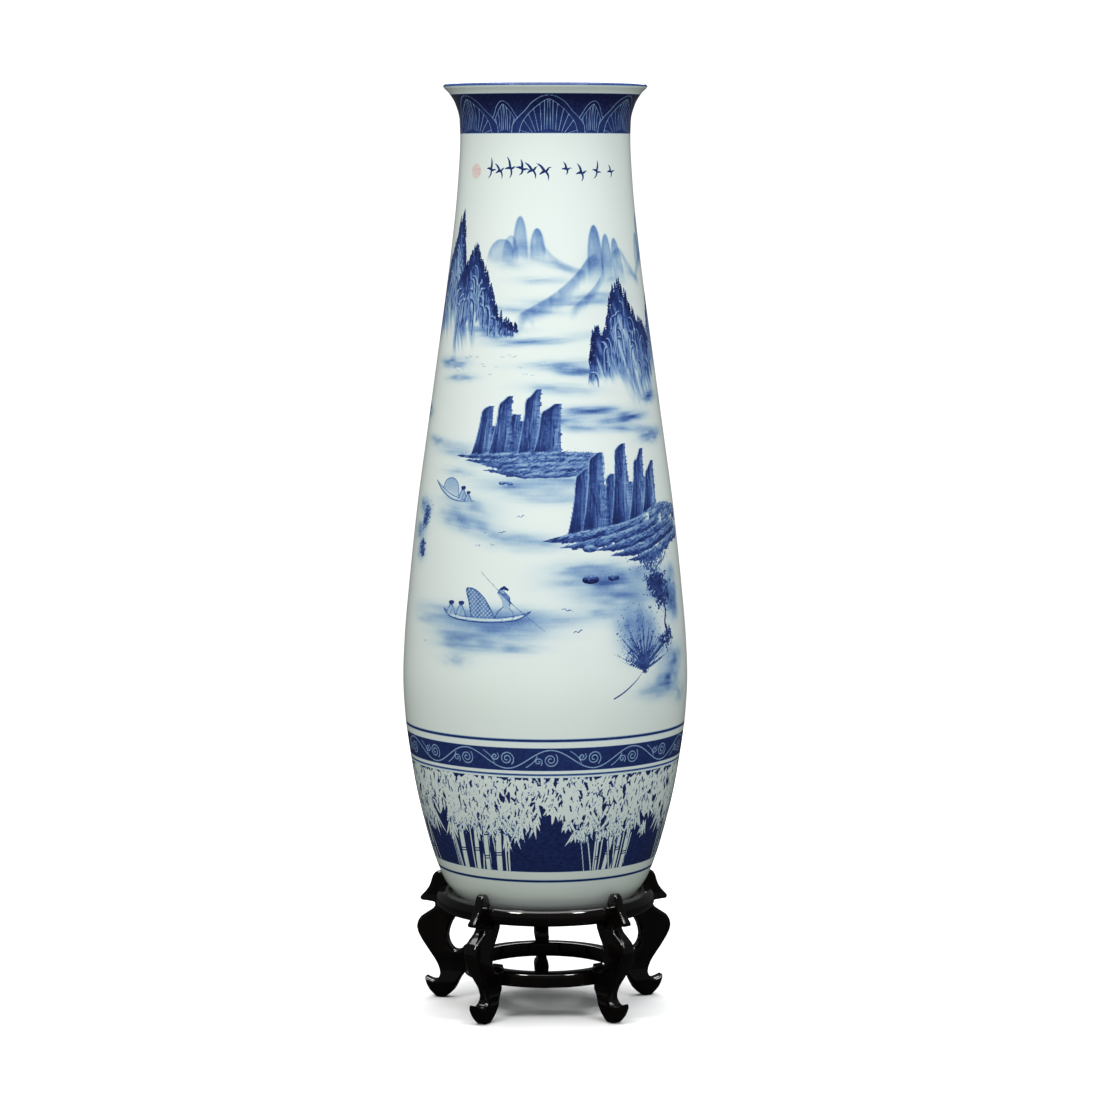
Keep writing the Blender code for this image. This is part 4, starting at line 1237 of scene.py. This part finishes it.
def lay_out(mesh, profile, angles, rows, columns):
    """The map "OFBake": round the wall across, along the profile up."""
    steps = np.hypot(*np.diff(profile, axis=0).T)
    along = np.concatenate(([0], np.cumsum(steps)))
    along /= along[-1]
    across = np.append((angles + 180) / 360, 1.0)
    corner = np.empty(len(mesh.loops), np.int32)
    mesh.loops.foreach_get("vertex_index", corner)
    face_column = corner % columns
    quad_loops = (rows - 1) * columns * 4
    u = across[face_column]
    v = along[np.minimum(corner // columns, rows - 1)]
    second = np.arange(quad_loops) % 4
    wraps = (face_column[:quad_loops] == 0) & ((second == 1) | (second == 2))
    u[:quad_loops][wraps] = 1.0
    fan_u = u[quad_loops:].reshape(-1, 3)
    fan_v = v[quad_loops:].reshape(-1, 3)
    middle = across[:-1] + np.diff(across) / 2
    fan_u[:, 0] = np.tile(middle, 2)
    fan_v[:columns, 0] = 0.0
    fan_v[columns:, 0] = 1.0
    fan_u[columns - 1, 1] = 1.0
    fan_u[2 * columns - 1, 2] = 1.0
    layer = mesh.uv_layers.new(name="OFBake")
    layer.uv.foreach_set("vector", np.stack((u, v), axis=-1).astype(np.float32).ravel())


# Materials --------------------------------------------------------------------

class Shader:
    """A node material with short calls for the nodes that it uses."""

    def __init__(self, name):
        self.material = bpy.data.materials.new(name)
        self.material.use_nodes = True
        self.tree = self.material.node_tree
        self.surface = self.tree.nodes["Principled BSDF"]

    def feed(self, socket, value):
        """Sets a socket from a plain value or from another node's output."""
        if isinstance(value, (int, float, tuple)):
            socket.default_value = value
        else:
            self.tree.links.new(value, socket)

    def add(self, kind, inputs=(), **settings):
        """A new node, given its settings first and then its inputs."""
        made = self.tree.nodes.new("ShaderNode" + kind)
        for key, value in settings.items():
            setattr(made, key, value)
        for name, value in dict(inputs).items():
            self.feed(made.inputs[name], value)
        return made

    def noise(self, scale, detail, stretch=(1, 1, 1)):
        """A noise field from 0 to 1, stretched along an axis by a small factor."""
        place = self.add("TexCoord").outputs["Object"]
        sizes = tuple(scale * share for share in stretch)
        spread = self.add("Mapping", {"Vector": place, "Scale": sizes}).outputs["Vector"]
        field = self.add("TexNoise", {"Vector": spread, "Scale": 1.0, "Detail": detail})
        return field.outputs["Fac"]

    def math(self, operation, first, second):
        return self.add("Math", {0: first, 1: second}, operation=operation).outputs[0]

    def fit(self, value, low, high, to_low, to_high, curve="LINEAR"):
        ends = {"Value": value, "From Min": low, "From Max": high, "To Min": to_low,
                "To Max": to_high}
        return self.add("MapRange", ends, interpolation_type=curve).outputs["Result"]

    def ramp(self, value, *stops):
        """Colours along a value, as (place, red, green, blue)."""
        made = self.add("ValToRGB", {"Fac": value})
        slots = made.color_ramp.elements
        while len(slots) < len(stops):
            slots.new(0.5)
        for slot, (place, *colour) in zip(slots, stops):
            slot.position = place
            slot.color = (*colour, 1.0)
        return made.outputs["Color"]

    def mix(self, share, first, second, blend="MIX"):
        sources = {"Factor": share, "A": first, "B": second}
        return self.add("Mix", sources, data_type="RGBA", blend_type=blend).outputs["Result"]

    def bump(self, height, distance, strength):
        made = self.add("Bump", {"Distance": distance, "Strength": strength, "Height": height})
        self.feed(self.surface.inputs["Normal"], made.outputs["Normal"])

    def set(self, **values):
        for name, value in values.items():
            self.feed(self.surface.inputs[name.replace("_", " ")], value)


def glaze_material():
    """Clear glaze over cobalt: the paint channels drive one ramp of blues."""
    glaze = Shader("blue_white_glaze_look")
    paint = glaze.add("Attribute", attribute_name="paint")
    split = glaze.add("SeparateColor", {"Color": paint.outputs["Color"]})
    wash, ink, tone = (split.outputs[name] for name in ("Red", "Green", "Blue"))
    crisp = glaze.fit(ink, 0.34, 0.66, 0.0, 1.0, "SMOOTHSTEP")
    gap = glaze.math("SUBTRACT", tone, wash)
    cobalt = glaze.math("ADD", wash, glaze.math("MULTIPLY", gap, crisp))
    pooled = glaze.noise(190, 4.0)
    brushed = glaze.noise(900, 2.0, (0.12, 0.12, 1.0))
    wear = glaze.math("ADD", glaze.math("MULTIPLY", pooled, 0.30),
                      glaze.math("MULTIPLY", brushed, 0.2))
    density = glaze.math("MULTIPLY", cobalt, glaze.math("ADD", wear, 0.75))
    blues = glaze.ramp(glaze.math("DIVIDE", density, 1.2), (0.0, 0.80, 0.865, 0.85),
                       (0.12, 0.62, 0.74, 0.79), (0.30, 0.33, 0.48, 0.66), (0.46, 0.16, 0.28, 0.53),
                       (0.62, 0.062, 0.125, 0.36), (0.78, 0.022, 0.045, 0.19),
                       (1.0, 0.008, 0.011, 0.055))
    cool = glaze.ramp(glaze.noise(5, 2.0), (0.3, 0.985, 1.0, 0.985), (0.7, 1.0, 0.995, 1.0))
    tinted = glaze.mix(1.0, blues, cool, "MULTIPLY")
    coloured = glaze.mix(paint.outputs["Alpha"], tinted, (0.72, 0.13, 0.08, 1.0))
    glaze.set(Base_Color=coloured, Roughness=glaze.fit(pooled, 0.2, 0.8, 0.13, 0.2), IOR=1.5,
              Coat_Weight=0.08, Coat_Roughness=0.04, Specular_IOR_Level=0.4)
    glaze.bump(glaze.noise(42, 2.0), 0.00018, 0.5)
    return glaze.material


def biscuit_material():
    """Bare fired clay where the foot was wiped clean of glaze."""
    biscuit = Shader("foot_biscuit_look")
    speck = biscuit.noise(700, 4.0)
    colour = biscuit.ramp(speck, (0.3, 0.62, 0.53, 0.42), (0.55, 0.74, 0.67, 0.56),
                          (0.75, 0.66, 0.52, 0.38))
    biscuit.set(Base_Color=colour, Roughness=0.82)
    biscuit.bump(speck, 0.0002, 0.6)
    return biscuit.material


def lacquer_material(name, tint, low, high):
    """Black lacquer over a brown ground, deep and glossy, with faint brush ripples."""
    lacquer = Shader(name)
    figure = lacquer.math("MULTIPLY", lacquer.noise(14, 4.0), lacquer.noise(60, 3.0, (1, 1, 0.18)))
    colour = lacquer.ramp(figure, (0.12, 0.0012, 0.001, 0.001), (0.45, *tint))
    lacquer.set(Base_Color=colour, Coat_Weight=0.8, Coat_Roughness=0.03,
                Roughness=lacquer.fit(lacquer.noise(260, 3.0), 0.3, 0.75, low, high))
    lacquer.bump(lacquer.noise(85, 2.0), 0.0002, 0.35)
    return lacquer.material


def wood_material(name, light, dark):
    """Bare wood with its grain upright."""
    wood = Shader(name)
    rings = wood.noise(420, 5.0, (1.0, 1.0, 0.08))
    colour = wood.ramp(rings, (0.3, *dark), (0.5, *light), (0.72, *dark))
    wood.set(Base_Color=colour, Roughness=wood.fit(rings, 0.3, 0.7, 0.5, 0.68))
    wood.bump(rings, 0.0003, 0.5)
    return wood.material


# Stand ------------------------------------------------------------------------

def turn_to(angle):
    """Rotation about Z that carries +X to an angle in degrees from the front."""
    return Matrix.Rotation(math.radians(angle) - math.pi / 2, 4, "Z")


def node_reach(name):
    """Greatest distance of a node from the axis."""
    return max(math.hypot(v.co.x, v.co.y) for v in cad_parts[name].data.vertices)


def add_piece(name, mesh, material, node):
    mesh.materials.clear()
    mesh.materials.append(material)
    mesh.shade_smooth()
    piece = new_object(name, mesh)
    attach(piece, "stand")
    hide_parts(node)


def carved_leg():
    """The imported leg, rounded as a carver would: soft edges, slim ear, slim toe."""
    shape = bmesh.new()
    shape.from_mesh(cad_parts["leg_1"].data)
    bmesh.ops.remove_doubles(shape, verts=shape.verts, dist=0.00001)
    shape.transform(turn_to(FIRST_LEG).inverted())
    rough = bpy.data.meshes.new("leg_rough")
    shape.to_mesh(rough)
    shape.free()
    block = new_object("leg_rough", rough)
    fine = block.modifiers.new("fine", "REMESH")
    fine.mode = "VOXEL"
    fine.voxel_size = LEG_VOXEL
    ease_off = block.modifiers.new("round", "SMOOTH")
    ease_off.factor = 0.5
    ease_off.iterations = 14
    bpy.context.view_layer.update()
    seen = block.evaluated_get(bpy.context.evaluated_depsgraph_get())
    mesh = bpy.data.meshes.new_from_object(seen)
    bpy.data.objects.remove(block)
    slim_leg(mesh)
    return mesh


def slim_leg(mesh):
    """Narrows the ear and the toe, and keeps the soles on the floor."""
    places = read_places(mesh)
    ring_low, ring_high = low_high("top_rail_1")
    ring_radius = node_reach("top_rail_1")
    up = ease(places[:, 2], ring_low - 0.014, ring_low + 0.012)
    out = ease(places[:, 0], ring_radius - 0.016, ring_radius - 0.006)
    over = ease(places[:, 2], ring_high - 0.004, ring_high + 0.006)
    ear = 1 - 0.42 * up * np.maximum(out, over)
    toe = 1 - 0.12 * (1 - ease(places[:, 2], 0.006, 0.03))
    ankle = 1 - 0.4 * ease(places[:, 2], 0.026, 0.05) * (1 - ease(places[:, 2], 0.058, 0.085))
    places[:, 1] *= ear * toe * ankle
    places[:, 2] -= places[:, 2].min() * (1 - ease(places[:, 2], 0.0, 0.02))
    mesh.vertices.foreach_set("co", places.ravel())
    mesh.update()


def ring_arc(section, half_span, steps, slot_half=None, core=None):
    """A section swept round Z about +X; inside the slot it goes no further out than core."""
    turns = set(np.linspace(-half_span, half_span, steps + 1))
    if slot_half:
        turns |= {-slot_half - 1e-5, -slot_half, slot_half, slot_half + 1e-5}
    shape = bmesh.new()
    rings = []
    for turn in sorted(turns):
        cut = slot_half is not None and abs(turn) <= slot_half + 1e-9
        ring = []
        for radius, height in section:
            reach = min(radius, core) if cut else radius
            ring.append(shape.verts.new((reach * math.cos(turn), reach * math.sin(turn), height)))
        rings.append(ring)
    count = len(section)
    for first, second in zip(rings, rings[1:]):
        for index in range(count):
            following = (index + 1) % count
            shape.faces.new((first[index], first[following], second[following], second[index]))
    shape.faces.new(rings[0][::-1])
    shape.faces.new(rings[-1])
    bmesh.ops.recalc_face_normals(shape, faces=shape.faces)
    mesh = bpy.data.meshes.new("ring_arc")
    shape.to_mesh(mesh)
    shape.free()
    return mesh


def rounded_section(corners):
    """A section whose corners (radius, height, rounding) are turned into arcs."""
    steps = 5
    section = []
    count = len(corners)
    for index, (x, y, rounding) in enumerate(corners):
        here = Vector((x, y))
        before = (Vector(corners[index - 1][:2]) - here).normalized()
        after = (Vector(corners[(index + 1) % count][:2]) - here).normalized()
        if rounding <= 0:
            section.append((x, y))
            continue
        for step in range(steps + 1):
            t = step / steps
            spot = here + before * rounding * (1 - t) ** 2 + after * rounding * t ** 2
            section.append((spot.x, spot.y))
    return section


def top_ring_section():
    low, high = low_high("top_rail_1")
    outer = node_reach("top_rail_1")
    recess = node_reach("seat_panel") + 0.3 * MM
    panel_low = low_high("seat_panel")[0]
    ledge = recess - LEDGE
    section = [(ledge, low), (outer - MOULDING - MM, low)]
    for step in range(1, 16):
        angle = math.pi * (step / 16 - 0.5)
        section.append((outer - MOULDING + MOULDING * math.cos(angle) ** 0.8,
                        (low + high) / 2 + (high - low) / 2 * math.sin(angle)))
    section += [(outer - MOULDING - MM, high), (outer - MOULDING - 3 * MM, high - 0.2 * MM),
                (recess + 3 * MM, high - 0.2 * MM), (recess + 0.8 * MM, high - 0.5 * MM),
                (recess, high - 1.6 * MM), (recess, panel_low - 0.3 * MM),
                (ledge, panel_low - 0.3 * MM)]
    return section, outer


def lower_ring_section():
    low, high = low_high("stretcher_1")
    outer = node_reach("stretcher_1")
    inner = outer - LOWER_RING
    return rounded_section([(inner, low, 3 * MM), (outer, low, 3 * MM), (outer, high, 8 * MM),
                            (inner, high, 5 * MM)])


def build_stand(lacquer, seat_lacquer, tongue_wood, dowel_wood):
    leg = carved_leg()
    section, outer = top_ring_section()
    core = outer - SLOT_DEPTH
    half_span = math.radians(LEG_STEP / 2) - JOINT_GAP / outer
    top_arc = ring_arc(section, half_span, 60, SLOT_HALF / outer, core)
    low_arc = ring_arc(lower_ring_section(), half_span, 48)
    for index in range(LEGS):
        number = index + 1
        placed = turn_to(FIRST_LEG + index * LEG_STEP)
        for name, mesh, node in ((f"carved_leg_{number}", leg, f"leg_{number}"),
                                 (f"turned_rail_{number}", top_arc, f"top_rail_{number}"),
                                 (f"turned_stretcher_{number}", low_arc, f"stretcher_{number}")):
            copy = mesh.copy()
            copy.transform(placed)
            add_piece(name, copy, lacquer, node)
            if mesh is not leg:
                copy.set_sharp_from_angle(angle=math.radians(40))
        for node, wood in ((f"rail_tongue_{number}", tongue_wood),
                           (f"stretcher_tongue_{number}", tongue_wood),
                           (f"leg_dowel_{number}", dowel_wood),
                           (f"stretcher_dowel_{number}", dowel_wood)):
            dress(node, wood)
    dress("seat_panel", seat_lacquer)


def dress(node, material):
    """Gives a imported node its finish."""
    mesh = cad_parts[node].data
    mesh.materials.clear()
    mesh.materials.append(material)


# Room -------------------------------------------------------------------------

def build_camera():
    data = bpy.data.cameras.new("camera")
    data.sensor_width = SENSOR
    data.lens = LENS
    data.shift_x = SIDE_SHIFT
    data.clip_end = 60.0
    camera = new_object("camera", data)
    camera.location = (-EYE_DISTANCE * math.sin(VIEW_TURN), -EYE_DISTANCE * math.cos(VIEW_TURN),
                       EYE_HEIGHT)
    camera.rotation_euler = (math.pi / 2 - VIEW_TILT, 0, -VIEW_TURN)
    bpy.context.scene.camera = camera


def build_floor():
    """White paper for the camera, and dark to the lacquer and the glaze above it."""
    shape = bmesh.new()
    bmesh.ops.create_circle(shape, cap_ends=True, segments=160, radius=3.2)
    mesh = bpy.data.meshes.new("studio_floor")
    shape.to_mesh(mesh)
    shape.free()
    floor = new_object("studio_floor", mesh)
    floor.location.z = -0.5 * MM
    paper = Shader("studio_paper")
    pale = paper.ramp(paper.noise(3, 3.0), (0.3, 0.94, 0.94, 0.94), (0.7, 0.98, 0.98, 0.98))
    path = paper.add("LightPath").outputs
    bounced = paper.mix(path["Is Glossy Ray"], (0.13, 0.14, 0.11, 1.0), (0.015, 0.015, 0.015, 1.0))
    colour = paper.mix(path["Is Camera Ray"], bounced, pale)
    paper.set(Base_Color=colour, Roughness=1.0, Specular_IOR_Level=0.0)
    mesh.materials.append(paper.material)


def add_light(name, kind, power, place=(0, 0, 0), aim=None, size=0.0, tint=(1, 1, 1)):
    data = bpy.data.lights.new(name, kind)
    data.energy = power
    data.color = tint
    light = new_object(name, data)
    if kind == "SUN":
        data.angle = size
        return light
    data.size = size
    light.location = place
    toward = Vector((0, 0, aim)) - Vector(place)
    light.rotation_euler = toward.to_track_quat("-Z", "Y").to_euler()
    light.visible_camera = False
    return light


def build_lights():
    """Two keys that leave a highlight each on the ring, soft fills, and a broad overhead."""
    add_light("key_left", "AREA", 68, (-2.3, -2.7, 3.9), 0.9, 0.9, (1.0, 1.0, 0.93))
    add_light("key_right", "AREA", 56, (2.3, -2.7, 3.9), 0.9, 0.9, (0.96, 1.0, 1.0))
    add_light("low_fill", "AREA", 38, (0.0, -4.6, 0.5), 0.6, 2.4).visible_glossy = False
    add_light("rear_fill", "AREA", 70, (0.3, 3.6, 3.4), 0.8, 2.2)
    add_light("overhead", "SUN", 3.0, size=math.radians(70))
    build_world()


def build_world():
    """White for the camera, a dimmer grey for the light that falls on the vase."""
    world = bpy.data.worlds.new("studio")
    world.use_nodes = True
    bpy.context.scene.world = world
    nodes, links = world.node_tree.nodes, world.node_tree.links
    path = nodes.new("ShaderNodeLightPath")

    def background(node, colour, strength):
        node.inputs["Color"].default_value = colour
        node.inputs["Strength"].default_value = strength
        return node.outputs["Background"]

    def choose(ray, otherwise, then):
        made = nodes.new("ShaderNodeMixShader")
        for socket, source in zip(made.inputs, (path.outputs[ray], otherwise, then)):
            links.new(source, socket)
        return made.outputs["Shader"]

    seen = background(nodes["Background"], (1, 1, 1, 1), 1.1)
    fill = background(nodes.new("ShaderNodeBackground"), (0.95, 0.98, 1, 1), 0.34)
    dark = background(nodes.new("ShaderNodeBackground"), (0.95, 0.98, 1, 1), 0.06)
    mixed = choose("Is Camera Ray", choose("Is Glossy Ray", fill, dark), seen)
    links.new(mixed, nodes["World Output"].inputs["Surface"])
    bpy.context.scene.view_settings.view_transform = "Standard"


def main():
    build_camera()
    build_floor()
    build_lights()
    build_vase(glaze_material(), biscuit_material())
    build_stand(lacquer_material("black_lacquer_look", (0.0045, 0.0028, 0.0022), 0.07, 0.14),
                lacquer_material("seat_lacquer_look", (0.014, 0.010, 0.008), 0.2, 0.34),
                wood_material("tongue_wood_look", (0.36, 0.22, 0.12), (0.24, 0.13, 0.07)),
                wood_material("dowel_wood_look", (0.52, 0.37, 0.22), (0.40, 0.27, 0.15)))


main()
